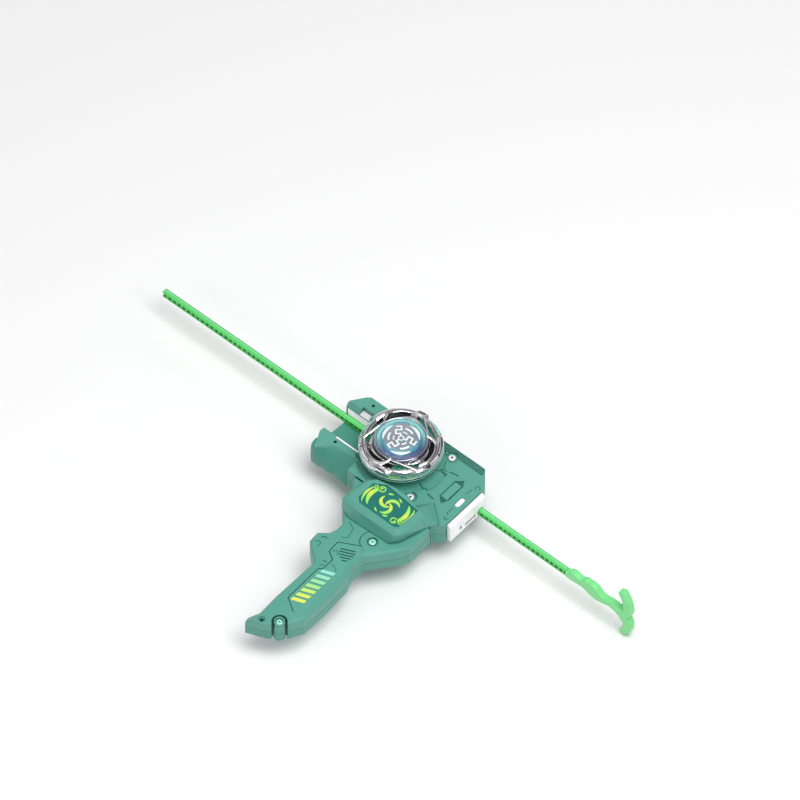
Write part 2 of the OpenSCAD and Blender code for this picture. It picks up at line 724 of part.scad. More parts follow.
// The pinion: involute flanks above the base circle, straight ones below it
base_r = pitch_r * cos(tooth_angle);
tip_r = pitch_r + tooth_add;
root_r = pitch_r - tooth_ded;
function inv(a) = tan(a) * 180 / PI - a;
half_at_pitch = tooth_fill_share * 180 / pinion_teeth;
function half_at(r) = half_at_pitch + inv(tooth_angle) - inv(acos(base_r / max(r, base_r)));
flank_steps = 6;
function flank_r(k) = base_r + (tip_r - base_r) * k / flank_steps;
function polar(r, a) = [r * cos(a), r * sin(a)];
function tooth_points(mid) = concat(
    [polar(root_r, mid - half_at(base_r))],
    [for (k = [0:flank_steps]) polar(flank_r(k), mid - half_at(flank_r(k)))],
    [for (k = [flank_steps:-1:0]) polar(flank_r(k), mid + half_at(flank_r(k)))],
    [polar(root_r, mid + half_at(base_r))]);

module drive_pinion() {
    turn = 360 / pinion_teeth;
    reach = rack_web + rack_gap;
    color("#d9d9d2") difference() {
        union() {
            translate([0, 0, rack_z + reach]) linear_extrude(rack_h - reach * 2)
                polygon([for (i = [0:pinion_teeth - 1]) each tooth_points(90 + i * turn)]);
            post([0, 0], root_r - rack_gap, rack_z, rack_top);
        }
        post([0, 0], shaft_r, 0, body_h);
    }
}

clip_t = 0.5;
prong_z = dish_z + rack_gap;
prong_plate_t = 1.4;
prong_z1 = prong_z + prong_plate_t;
shaft_z1 = prong_z1;
prong_r1 = prong_plate_r - fit * 2;
prong_r0 = prong_r1 - prong_t;
module spindle_shaft() {
    color("silver") post([0, 0], shaft_r, rack_z, shaft_z1);
}

module shaft_clip() {
    color("#555555") ring(shaft_r, shaft_r + bush_t, rack_top, rack_top + clip_t);
}

tip_seat_r = 3.4;
module prong_head() {
    color("#3f4a4a") {
        difference() {
            union() {
                post([0, 0], prong_plate_r, prong_z, prong_z1);
                ring(tip_seat_r + fit, tip_seat_r + prong_t, prong_z1, prong_z1 + prong_t);
            }
            post([0, 0], shaft_r, 0, shaft_z1 + cut);
        }
        for (k = [0:prong_count - 1])
            sector(prong_r0, prong_r1, prong_z + prong_plate_t / 2, prong_z1 + prong_h,
                k * 360 / prong_count, prong_angle);
    }
}

// Ripcord: a bar with straight-sided teeth on the side that faces the pinion
tooth_tip_half = tooth_fill_share * tooth_pitch / 2 - tooth_add * tan(tooth_angle);
tooth_root_half = tooth_fill_share * tooth_pitch / 2 + tooth_ded * tan(tooth_angle);
tail_teeth = floor((rack_tail - tooth_pitch / 2 - tooth_root_half) / tooth_pitch);
head_teeth = floor((rack_head - tooth_pitch / 2 - tooth_root_half) / tooth_pitch);
rack_root_y = pitch_r + tooth_ded;
module rack_strip() {
    teeth = [for (i = [-tail_teeth - 1:head_teeth]) let (x = (i + 0.5) * tooth_pitch)
        each [[x - tooth_root_half, rack_root_y], [x - tooth_tip_half, rack_y0],
            [x + tooth_tip_half, rack_y0], [x + tooth_root_half, rack_root_y]]];
    color("#8ff2a4") {
        translate([0, 0, rack_z]) linear_extrude(rack_h)
            polygon(concat([[-rack_tail, rack_root_y]], teeth,
                [[rack_head, rack_root_y], [rack_head, rack_y1], [-rack_tail, rack_y1]]));
        slab(-rack_tail, rack_head, rack_y0, rack_y1, rack_z, rack_z + rack_web);
        slab(-rack_tail, rack_head, rack_y0, rack_y1, rack_top - rack_web, rack_top);
    }
}

// Pull handle: the upper and the lower side of its outline, from the collar to the crossbar
pull_up_share = [[0, 0.15], [0.09, 0.2], [0.23, 0.23], [0.31, 0.31], [0.4, 0.35], [0.465, 0.34],
    [0.49, 0.2], [0.55, 0.12], [0.68, 0.13], [0.76, 0.2], [0.82, 0.36], [0.845, 0.6],
    [0.82, 0.8], [0.78, 0.9], [0.8, 0.985], [0.86, 1], [0.925, 0.82], [0.97, 0.45],
    [0.975, 0.2], [0.94, 0.06]];
pull_low_share = [[0.94, -0.06], [0.975, -0.2], [0.97, -0.5], [0.935, -0.9], [0.88, -1.1],
    [0.8, -1.12], [0.77, -1.03], [0.83, -0.85], [0.845, -0.6], [0.81, -0.33], [0.76, -0.2],
    [0.68, -0.11], [0.55, -0.15], [0.48, -0.24], [0.4, -0.28], [0.31, -0.17], [0.16, -0.12],
    [0, -0.12]];
pull_y = rack_y0 + (rack_y1 - rack_y0) / 2;
pull_mid_z = rack_z + rack_h / 2;
module pull_handle() {
    plan = [for (p = concat(pull_up_share, pull_low_share))
        [rack_head + p[0] * pull_l, p[1] * pull_half]];
    color("#8ff2a4") translate([0, pull_y + pull_t / 2, pull_mid_z]) rotate([90, 0, 0])
        linear_extrude(pull_t) polygon(plan);
}

// The top: each piece is turned about the launch axis
tip_z0 = prong_z1 + fit * 3;
core_z0 = clear_z - prong_h * 0.6;
core_gap = 0.6;
lobe_r = prong_plate_r + core_gap;
lobe_angle = 84;
module tip_point() {
    color("#e8f6f2") post([0, 0], tip_seat_r * 0.5, tip_z0, tip_z0 + prong_t);
}

module tip_base() {
    color("#2f9f8c") {
        post([0, 0], tip_seat_r - fit, tip_z0 + prong_t, tip_z0 + prong_t * 1.6);
        translate([0, 0, tip_z0 + prong_t * 1.6])
            cylinder(r1 = tip_seat_r - fit, r2 = lobe_r * 0.6,
                h = core_z0 - tip_z0 - prong_t * 1.6);
    }
}

module track_core() {
    color("#c8dc3c") {
        post([0, 0], prong_r0 - core_gap, core_z0, clear_z);
        for (k = [0:prong_count - 1])
            sector(shaft_r, lobe_r, core_z0, clear_z, (k + 0.5) * 360 / prong_count,
                lobe_angle);
    }
}

chip_seat_r = chip_r - 1.4;
module clear_ring() {
    color([0.25, 0.8, 0.7, 0.45]) {
        ring(0, clear_r, clear_z, clear_z + clear_t);
        post([0, 0], chip_seat_r, clear_z + clear_t, clear_z + clear_t + ring_h * 0.6);
    }
}

blade_count = 3;
ring_bevel = 1;
window_r0 = 17.4;
window_r1 = 21.2;
window_angle = 38;
window_start = 25;
notch_depth = 1.3;
notch_angle = 20;
notch_start = 78;
module blade_ring() {
    z0 = clear_z + clear_t;
    z1 = z0 + ring_h;
    color("#d5d8dc") difference() {
        rotate_extrude() polygon([[chip_r + fit, z0], [ring_r, z0], [ring_r, z1 - ring_bevel],
            [ring_r - ring_bevel, z1], [chip_r + fit, z1 - ring_bevel / 2]]);
        for (k = [0:blade_count - 1]) {
            turn = k * 360 / blade_count;
            sector(window_r0, window_r1, z0 - cut, z1 + cut, window_start + turn, window_angle);
            sector(ring_r - notch_depth, ring_r + cut, z0 + ring_h * 0.3, z1 + cut,
                notch_start + turn, notch_angle);
        }
    }
}

chip_z1 = clear_z + clear_t + ring_h + chip_rise;
emblem_t = 0.25;
emblem_r = 4.5;
emblem_w = 2.1;
emblem_count = 3;
emblem_angle = 84;

// Three arcs in the chip's face, grown by a clearance
module emblem_arcs(grow, z0) {
    for (k = [0:emblem_count - 1])
        sector(emblem_r - grow, emblem_r + emblem_w + grow, z0, chip_z1 + emblem_t,
            30 + k * 360 / emblem_count, emblem_angle + grow * 180 / PI / emblem_r * 2);
}

module chip_bezel() {
    color("#3fc8d8") ring(chip_seat_r, chip_r, clear_z + clear_t, chip_z1 - chip_rise * 0.35);
}

module face_chip() {
    z0 = clear_z + clear_t + ring_h * 0.6;
    dome = chip_rise * 0.5;
    r = chip_seat_r - fit;
    bend = (r * r + dome * dome) / (2 * dome);
    color("#8c8c9c") difference() {
        intersection() {
            post([0, 0], r, z0, chip_z1 + cut);
            translate([0, 0, chip_z1 - bend]) sphere(r = bend, $fn = 128);
        }
        emblem_arcs(fit, chip_z1 - emblem_t * 2 - fit);
    }
}

module chip_emblem() {
    color("white") emblem_arcs(0, chip_z1 - emblem_t * 2);
}

lower_housing();
upper_housing();
rack_liner();
end_cap();
spindle_bush();
thrust_washer();
housing_screws();
label_plate();
grip_lower();
grip_upper();
grip_inlay();
grip_stripes();
grip_screws();
hub_cover();
hub_screws();
badge_plate();
badge_relief();
spindle_shaft();
drive_pinion();
prong_head();
shaft_clip();
rack_strip();
pull_handle();
tip_point();
tip_base();
track_core();
clear_ring();
blade_ring();
chip_bezel();
face_chip();
chip_emblem();
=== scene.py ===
"""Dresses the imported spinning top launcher: finishes, shaped pieces, light, floor and camera.

Sizes in the dataclasses are millimetres in the part's own frame: X along the ripcord, -Y along the
grip, Z along the launch axis. Meshes are written in metres.
"""

import logging
import math
from dataclasses import dataclass
from enum import Enum

import bmesh
import bpy
import numpy as np
from mathutils import Matrix, Vector
from mathutils.bvhtree import BVHTree


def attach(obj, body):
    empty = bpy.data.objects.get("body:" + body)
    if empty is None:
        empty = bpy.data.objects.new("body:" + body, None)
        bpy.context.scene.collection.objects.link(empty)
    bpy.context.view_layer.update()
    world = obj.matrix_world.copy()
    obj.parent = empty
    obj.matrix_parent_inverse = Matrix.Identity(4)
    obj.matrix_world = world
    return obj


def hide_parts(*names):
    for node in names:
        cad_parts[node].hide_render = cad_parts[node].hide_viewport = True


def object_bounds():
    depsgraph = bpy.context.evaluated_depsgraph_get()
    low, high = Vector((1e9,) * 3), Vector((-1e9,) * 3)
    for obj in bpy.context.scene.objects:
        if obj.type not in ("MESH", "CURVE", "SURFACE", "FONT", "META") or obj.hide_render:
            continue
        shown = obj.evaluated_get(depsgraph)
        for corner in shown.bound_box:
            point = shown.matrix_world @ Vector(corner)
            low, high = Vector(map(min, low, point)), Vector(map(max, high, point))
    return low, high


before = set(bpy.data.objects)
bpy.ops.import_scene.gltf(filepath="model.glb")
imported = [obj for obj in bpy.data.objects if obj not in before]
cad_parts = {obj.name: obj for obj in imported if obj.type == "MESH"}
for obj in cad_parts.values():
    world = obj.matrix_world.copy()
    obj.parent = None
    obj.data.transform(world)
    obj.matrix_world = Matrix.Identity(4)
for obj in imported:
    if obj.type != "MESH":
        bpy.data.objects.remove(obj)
CAD_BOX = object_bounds()

MM = 0.001
MERGE_DISTANCE = 1e-7  # points closer than this become one, in metres
MARK_DEPTH = 0.00001  # depth of handling marks, in metres
MARK_STRETCH = (1, 9, 3)  # how much finer the marks are along X, Y and Z
MARK_RANGE = (0.58, 0.72)  # noise from which a mark starts and where it is full
GLOSS_SCALE = 160.0  # noise scale of uneven gloss on moulded plastic
SIDE_STIR = 1.2  # how far noise moves the line between a disc's two sides
ABOVE_ALL = 0.06  # a height over the whole object, in metres
THIRD = 120.0
THIRDS = (0.0, THIRD, 2 * THIRD)
LOG = logging.getLogger("launcher")
Color = tuple[float, float, float]
Feed = bpy.types.NodeSocket | Vector | tuple | float


class Body(str, Enum):
    """The bodies that the new pieces ride on."""

    LAUNCHER = "launcher"
    RIPCORD = "ripcord"
    TOP = "top"


# Shapes


@dataclass
class Surface:
    """Points in millimetres and the faces that join them."""

    points: np.ndarray
    faces: list


def grid_surface(points: np.ndarray, close_rows: bool, close_columns: bool) -> Surface:
    """Joins a grid of points with four-sided faces.

    Args:
        points: Grid of shape (rows, columns, 3).
        close_rows: The last row joins the first.
        close_columns: The last column joins the first.

    Returns:
        The surface.
    """
    rows, columns = points.shape[:2]
    i, j = np.meshgrid(
        np.arange(rows if close_rows else rows - 1),
        np.arange(columns if close_columns else columns - 1),
        indexing="ij",
    )
    i_next, j_next = (i + 1) % rows, (j + 1) % columns
    quads = np.stack(
        [i * columns + j, i * columns + j_next, i_next * columns + j_next, i_next * columns + j], -1
    )
    return Surface(points.reshape(-1, 3), quads.reshape(-1, 4).tolist())


def lathe(profile: np.ndarray, steps: int, closed: bool, centre: tuple = (0.0, 0.0)) -> Surface:
    """Turns a profile of (radius, height) points about a vertical axis.

    A point at angle a is (r cos a, r sin a, z). An open profile starts and ends on the axis.

    Args:
        profile: Points of shape (n, 2).
        steps: Number of columns round the axis.
        closed: The profile is a loop, as in a ring.
        centre: Where the axis stands.

    Returns:
        The turned surface.
    """
    angle = np.linspace(0, 2 * math.pi, steps, endpoint=False)
    radius, height = profile[:, 0:1], profile[:, 1:2]
    points = np.stack(
        [
            centre[0] + radius * np.cos(angle),
            centre[1] + radius * np.sin(angle),
            height + 0 * angle,
        ],
        -1,
    )
    return grid_surface(points, closed, True)


def inset(outline: np.ndarray, distance: np.ndarray | float) -> np.ndarray:
    """Moves each corner of an outline inwards along the mitre of its two sides.

    Where m is the sum of the two sides' unit normals, a move of d is 2 d m / |m|^2.

    Args:
        outline: Counter-clockwise points of shape (n, 2).
        distance: How far the sides move in, one number or one for each point.

    Returns:
        The moved outline.
    """
    before, after = np.roll(outline, 1, 0), np.roll(outline, -1, 0)
    u = (outline - before) / np.linalg.norm(outline - before, axis=1)[:, None]
    v = (after - outline) / np.linalg.norm(after - outline, axis=1)[:, None]
    normal = np.column_stack([-u[:, 1] - v[:, 1], u[:, 0] + v[:, 0]])
    return outline + normal * (2 * distance / (normal * normal).sum(1))[:, None]


def close_ends(side: Surface, count: int) -> Surface:
    """Closes a tube with one flat face over its first ring and one over its last.

    Args:
        side: Rings of points, already joined to each other.
        count: Points in a ring.

    Returns:
        The same surface, closed.
    """
    ring, last = list(range(count)), len(side.points) - count
    side.faces += [ring[::-1], [last + k for k in ring]]
    return side


def prism(outline: np.ndarray, levels: list) -> Surface:
    """Stacks inset copies of an outline: level (d, z) is the outline moved in by d at height z.

    Args:
        outline: Counter-clockwise points of shape (n, 2).
        levels: Pairs of inset and height, lowest first, each one number or one for each point.

    Returns:
        The closed solid's surface.
    """
    count = len(outline)
    rings = [
        np.column_stack([inset(outline, d), np.broadcast_to(z, (count,))]) for d, z in levels
    ]
    return close_ends(grid_surface(np.stack(rings), False, True), count)


def flat_ring(centre: tuple, outer: float, width: float, z: tuple, steps: int) -> Surface:
    """A ring of rectangular section, turned about an upright axis.

    Args:
        centre: Where the axis stands.
        outer: Outer radius.
        width: Outer less inner radius.
        z: Lowest and highest place.
        steps: Columns round the axis.

    Returns:
        The closed ring's surface.
    """
    r = (outer - width, outer)
    return lathe(oblong(r, z), steps, True, centre)


def oblong(x: tuple, y: tuple) -> np.ndarray:
    """Outline of a rectangle, from its limits in x and in y."""
    return np.array([(x[0], y[0]), (x[1], y[0]), (x[1], y[1]), (x[0], y[1])])


def smooth(knots: tuple, steps: int) -> np.ndarray:
    """Runs a cubic through evenly placed knots, with slopes from their neighbours.

    Between knots p and q with slopes u and v, at share t of the way, the curve is
    p (2 t^3 - 3 t^2 + 1) + u (t^3 - 2 t^2 + t) + q (3 t^2 - 2 t^3) + v (t^3 - t^2).

    Args:
        knots: One row of numbers for each knot.
        steps: How many points the curve gets.

    Returns:
        The curve's rows, of shape (steps, numbers in a row).
    """
    value = np.array(knots)
    slope = np.gradient(value, axis=0)
    fine = np.linspace(0, len(value) - 1, steps)
    low = np.clip(np.floor(fine).astype(int), 0, len(value) - 2)
    t = (fine - low)[:, None]
    return (
        value[low] * (2 * t**3 - 3 * t**2 + 1)
        + slope[low] * (t**3 - 2 * t**2 + t)
        + value[low + 1] * (3 * t**2 - 2 * t**3)
        + slope[low + 1] * (t**3 - t**2)
    )


def left_normals(path: np.ndarray) -> np.ndarray:
    """Unit normals on the left of a path: its unit tangents turned by a quarter.

    Args:
        path: Points of shape (n, 2).

    Returns:
        Normals of shape (n, 2).
    """
    tangent = np.gradient(path, axis=0)
    tangent /= np.linalg.norm(tangent, axis=1)[:, None]
    return np.column_stack([-tangent[:, 1], tangent[:, 0]])


def ribbon(path: np.ndarray, width: np.ndarray | float) -> np.ndarray:
    """Outline of a band along a smooth path: the path moved half its width to either side.

    Args:
        path: Points of shape (n, 2).
        width: The band's width, one number or one for each point.

    Returns:
        The outline, of shape (2 n, 2).
    """
    half = np.broadcast_to(np.asarray(width) / 2, (len(path),))[:, None]
    move = left_normals(path) * half
    return np.concatenate([path - move, (path + move)[::-1]])


def bent_band(path: np.ndarray, width: float) -> np.ndarray:
    """Outline of a band along a bent path, with mitred corners.

    Where m is the sum of the unit normals on either side of a corner, its move is width m / |m|^2.

    Args:
        path: Corners of shape (n, 2).
        width: The band's width.

    Returns:
        The outline, of shape (2 n, 2).
    """
    step = np.diff(path, axis=0)
    step /= np.linalg.norm(step, axis=1)[:, None]
    both = np.concatenate([step[:1], step]) + np.concatenate([step, step[-1:]])
    normal = np.column_stack([-both[:, 1], both[:, 0]])
    move = normal * (width / (normal * normal).sum(1))[:, None]
    return np.concatenate([path - move, (path + move)[::-1]])


def crowned_bar(path: np.ndarray, half: np.ndarray, top: np.ndarray, base: np.ndarray) -> Surface:
    """A bar along a path with a crowned top and upright sides.

    At place a across the bar, from -1 to 1, the top stands at top - crown a^2, and its edges are
    a shoulder lower.

    Args:
        path: Points of shape (n, 2).
        half: Half width at each point.
        top: Height of the crown at each point.
        base: Height of the underside at each point.

    Returns:
        The closed bar's surface.
    """
    crown, shoulder = 0.3, 0.25
    across = np.array([-1, -1, -0.9, -0.45, 0, 0.45, 0.9, 1, 1])
    fall = crown * across**2
    fall[[1, -2]] += shoulder
    level = top[:, None] - fall
    level[:, [0, -1]] = base[:, None]
    spots = path[:, None] + across[None, :, None] * (half[:, None] * left_normals(path))[:, None]
    bar = grid_surface(np.concatenate([spots, level[..., None]], -1), False, True)
    return close_ends(bar, len(across))


def arc(centre: tuple, radius: float, start: float, sweep: float, steps: int = 28) -> np.ndarray:
    """Points along an arc: at angle a, the centre plus radius times (cos a, sin a).

    Args:
        centre: The arc's centre.
        radius: Its radius.
        start: Its first angle, in degrees.
        sweep: How far it turns, in degrees.
        steps: Number of points.

    Returns:
        Points of shape (steps, 2).
    """
    angle = np.radians(np.linspace(start, start + sweep, steps))
    return np.column_stack(
        [centre[0] + radius * np.cos(angle), centre[1] + radius * np.sin(angle)]
    )


def crescent(centre: tuple, radius: float, start: float, sweep: float, width: float) -> np.ndarray:
    """Outline of an arc that is widest in the middle.

    At share t of the way along it, its width is the full width times sin(pi t)^0.8. The path is cut
    just short of t = 0 and t = 1, where the width would be nothing.

    Args:
        centre: The arc's centre.
        radius: Its radius.
        start: Its first angle, in degrees.
        sweep: How far it turns, in degrees.
        width: Its full width.

    Returns:
        The outline.
    """
    cut, fullness = 0.03, 0.8
    path = arc(centre, radius, start, sweep)
    way = np.linspace(cut, 1 - cut, len(path))
    return ribbon(path, width * np.sin(math.pi * way) ** fullness)


def put(name: str, data: bpy.types.ID) -> bpy.types.Object:
    """Makes an object of a mesh, a lamp or a camera and links it to the scene.

    Args:
        name: The object's name.
        data: What it shows.

    Returns:
        The object.
    """
    thing = bpy.data.objects.new(name, data)
    bpy.context.scene.collection.objects.link(thing)
    return thing


def make_piece(
    name: str,
    surfaces: list,
    finish: str,
    body: Body,
    replaces: tuple = (),
    sharp_angle: float = 34.0,
) -> None:
    """Makes one mesh object of surfaces, sets it on its body and reports it.

    Args:
        name: The piece's name.
        surfaces: Surfaces in millimetres.
        finish: Name of its finish.
        body: The body that it rides on.
        replaces: CAD nodes that it stands for.
        sharp_angle: Edges over this angle, in degrees, stay sharp.
    """
    faces, offset = [], 0
    for surface in surfaces:
        faces.extend([[k + offset for k in face] for face in surface.faces])
        offset += len(surface.points)
    mesh = bpy.data.meshes.new(name)
    points = np.concatenate([surface.points for surface in surfaces]) * MM
    mesh.from_pydata(points.tolist(), [], faces)
    work = bmesh.new()
    work.from_mesh(mesh)
    bmesh.ops.remove_doubles(work, verts=work.verts, dist=MERGE_DISTANCE)
    bmesh.ops.recalc_face_normals(work, faces=work.faces)
    work.to_mesh(mesh)
    work.free()
    mesh.polygons.foreach_set("use_smooth", np.ones(len(mesh.polygons), dtype=bool))
    mesh.set_sharp_from_angle(angle=math.radians(sharp_angle))
    mesh.materials.append(FINISHES[finish])
    piece = put(name, mesh)
    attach(piece, body.value)
    if replaces:
        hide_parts(*replaces)
    LOG.info("%s: %d points on %s", name, len(mesh.vertices), body.value)


# Finishes


def new_group(name: str, inputs: dict, outputs: dict) -> bpy.types.NodeTree:
    """Makes an empty shader node group.

    Args:
        name: The group's name.
        inputs: Socket type and default by name.
        outputs: Socket type by name.

    Returns:
        The group, with its input and output nodes named "in" and "out".
    """
    group = bpy.data.node_groups.new(name, "ShaderNodeTree")
    for key, (kind, value) in inputs.items():
        socket = group.interface.new_socket(name=key, in_out="INPUT", socket_type=kind)
        if value is not None:
            socket.default_value = value
    for key, kind in outputs.items():
        group.interface.new_socket(name=key, in_out="OUTPUT", socket_type=kind)
    group.nodes.new("NodeGroupInput").name = "in"
    group.nodes.new("NodeGroupOutput").name = "out"
    return group


class NodeBench:
    """Adds and joins nodes in one tree."""

    def __init__(self, tree: bpy.types.NodeTree) -> None:
        """Keeps the tree that the nodes go into."""
        self.tree = tree

    def add(self, kind: str, settings: dict | None = None, **values: Feed) -> bpy.types.Node:
        """Adds a node.

        Args:
            kind: The node's type.
            settings: Its properties.
            values: What its inputs get, by socket name with _ for a space.

        Returns:
            The node.
        """
        node = self.tree.nodes.new(kind)
        for key, value in (settings or {}).items():
            setattr(node, key, value)
        self.feed_all(node, **values)
        return node

    def feed(self, node: bpy.types.Node, key: str | int, value: Feed) -> None:
        """Sets an input, or joins it to an output socket.

        Args:
            node: The node that is fed.
            key: Its input's name or place.
            value: A number, vector or colour, or the output socket to join.
        """
        if isinstance(value, bpy.types.NodeSocket):
            self.tree.links.new(value, node.inputs[key])
        elif isinstance(value, tuple) and node.inputs[key].type == "RGBA":
            node.inputs[key].default_value = (*value[:3], 1.0)
        else:
            node.inputs[key].default_value = value

    def feed_all(self, node: bpy.types.Node, **values: Feed) -> None:
        """Feeds several inputs, by socket name with _ for a space."""
        for key, value in values.items():
            self.feed(node, key.replace("_", " "), value)

    def sum(self, operation: str, *terms: Feed) -> bpy.types.NodeSocket:
        """Adds a math node.

        Args:
            operation: What it works out.
            terms: Its two or three inputs.

        Returns:
            Its output.
        """
        node = self.add("ShaderNodeMath", {"operation": operation})
        for k, value in enumerate(terms):
            self.feed(node, k, value)
        return node.outputs[0]

    def span(self, value: Feed, low: float, high: float, top: float = 1.0) -> bpy.types.NodeSocket:
        """Adds a range node: 0 where the value is low or less, and top where it is high or more.

        Args:
            value: The value that is read.
            low: Where the range starts.
            high: Where it ends.
            top: The output at its end.

        Returns:
            Its output.
        """
        return self.add(
            "ShaderNodeMapRange", Value=value, From_Min=low, From_Max=high, To_Max=top
        ).outputs[0]

    def blend(self, share: Feed, first: Feed, second: Feed) -> bpy.types.NodeSocket:
        """Adds a colour mix.

        Args:
            share: How much of the second colour is taken, from 0 to 1.
            first: The first colour.
            second: The second colour.

        Returns:
            Its output.
        """
        node = self.add("ShaderNodeMix", {"data_type": "RGBA"})
        for k, value in ((0, share), (6, first), (7, second)):
            self.feed(node, k, value)
        return node.outputs[2]

    def ramp(self, value: Feed, stops: tuple) -> bpy.types.NodeSocket:
        """Adds a colour ramp.

        Args:
            value: The place on the ramp.
            stops: Pairs of place and colour.

        Returns:
            Its output.
        """
        node = self.add("ShaderNodeValToRGB")
        self.feed(node, 0, value)
        elements = node.color_ramp.elements
        for _ in stops[2:]:
            elements.new(0.5)
        for element, (place, colour) in zip(elements, stops):
            element.position = place
            element.color = (*colour, 1.0)
        return node.outputs[0]


def skin_group() -> bpy.types.NodeTree:
    """Moulded skin: broad patches shade the colour, fine noise gives grain and uneven gloss.

    Returns:
        The node group "moulded_skin".
    """
    group = new_group(
        "moulded_skin",
        {
            "Vector": ("NodeSocketVector", None),
            "Color": ("NodeSocketColor", (0.5, 0.5, 0.5, 1)),
            "Shade": ("NodeSocketColor", (0.3, 0.3, 0.3, 1)),
            "Patch Scale": ("NodeSocketFloat", 30.0),
            "Patch Amount": ("NodeSocketFloat", 0.2),
            "Grain Scale": ("NodeSocketFloat", 2500.0),
            "Roughness": ("NodeSocketFloat", 0.4),
            "Gloss Spread": ("NodeSocketFloat", 0.1),
        },
        {
            "Color": "NodeSocketColor",
            "Roughness": "NodeSocketFloat",
            "Height": "NodeSocketFloat",
        },
    )
    bench = NodeBench(group)
    given, out = group.nodes["in"].outputs, group.nodes["out"]
    patch = bench.add(
        "ShaderNodeTexNoise", Vector=given["Vector"], Scale=given["Patch Scale"], Detail=3.0
    )
    grain = bench.add(
        "ShaderNodeTexNoise", Vector=given["Vector"], Scale=given["Grain Scale"], Detail=2.0
    )
    gloss = bench.add(
        "ShaderNodeTexNoise", Vector=given["Vector"], Scale=GLOSS_SCALE, Detail=4.0
    )
    amount = bench.sum("MULTIPLY", patch.outputs[0], given["Patch Amount"])
    bench.feed(out, "Color", bench.blend(amount, given["Color"], given["Shade"]))
    centred = bench.sum("SUBTRACT", gloss.outputs[0], 0.5)
    rough = bench.sum("MULTIPLY_ADD", centred, given["Gloss Spread"], given["Roughness"])
    bench.feed(out, "Roughness", rough)
    bench.feed(out, "Height", grain.outputs[0])
    return group


def scratch_group() -> bpy.types.NodeTree:
    """Handling marks: long thin noise lines that lift the roughness and dent the surface a little.

    Returns:
        The node group "fine_scratches".
    """
    group = new_group(
        "fine_scratches",
        {
            "Vector": ("NodeSocketVector", None),
            "Roughness": ("NodeSocketFloat", 0.1),
            "Amount": ("NodeSocketFloat", 0.15),
            "Scale": ("NodeSocketFloat", 300.0),
        },
        {"Mask": "NodeSocketFloat", "Roughness": "NodeSocketFloat", "Height": "NodeSocketFloat"},
    )
    bench = NodeBench(group)
    given, out = group.nodes["in"].outputs, group.nodes["out"]
    stretched = bench.add(
        "ShaderNodeMapping", Vector=given["Vector"], Scale=Vector(MARK_STRETCH)
    )
    lines = bench.add(
        "ShaderNodeTexNoise", Vector=stretched.outputs[0], Scale=given["Scale"], Detail=5.0
    )
    mask = bench.span(lines.outputs[0], *MARK_RANGE)
    bench.feed(out, "Mask", mask)
    rough = bench.sum("MULTIPLY_ADD", mask, given["Amount"], given["Roughness"])
    bench.feed(out, "Roughness", rough)
    bench.feed(out, "Height", bench.sum("SUBTRACT", 1.0, mask))
    return group


def disc_group() -> bpy.types.NodeTree:
    """Distance from the launch axis as a share of a radius, stirred by broad noise.

    Returns:
        The node group "disc_place".
    """
    group = new_group(
        "disc_place",
        {
            "Vector": ("NodeSocketVector", None),
            "Radius": ("NodeSocketFloat", 0.015),
            "Stir": ("NodeSocketFloat", 0.1),
            "Swirl Scale": ("NodeSocketFloat", 90.0),
        },
        {"Share": "NodeSocketFloat", "Swirl": "NodeSocketFloat", "Side": "NodeSocketFloat"},
    )
    bench = NodeBench(group)
    given, out = group.nodes["in"].outputs, group.nodes["out"]
    split = bench.add("ShaderNodeSeparateXYZ", Vector=given["Vector"])
    flat = bench.add("ShaderNodeCombineXYZ", X=split.outputs[0], Y=split.outputs[1])
    length = bench.add("ShaderNodeVectorMath", {"operation": "LENGTH"})
    bench.feed(length, 0, flat.outputs[0])
    noise = bench.add(
        "ShaderNodeTexNoise",
        Vector=given["Vector"],
        Scale=given["Swirl Scale"],
        Detail=3.0,
        Distortion=1.6,
    )
    # Side splits the disc along X - Y for a painted sheen: lighter on one side, darker on the
    # other.
    slant = bench.sum("SUBTRACT", split.outputs[0], split.outputs[1])
    side = bench.sum("DIVIDE", slant, given["Radius"])
    bench.feed(out, "Side", bench.sum("MULTIPLY_ADD", noise.outputs[0], SIDE_STIR, side))
    share = bench.sum("DIVIDE", length.outputs["Value"], given["Radius"])
    centred = bench.sum("SUBTRACT", noise.outputs[0], 0.5)
    bench.feed(out, "Share", bench.sum("MULTIPLY_ADD", centred, given["Stir"], share))
    bench.feed(out, "Swirl", noise.outputs[0])
    return group


GROUPS = {maker.__name__: maker() for maker in (skin_group, scratch_group, disc_group)}


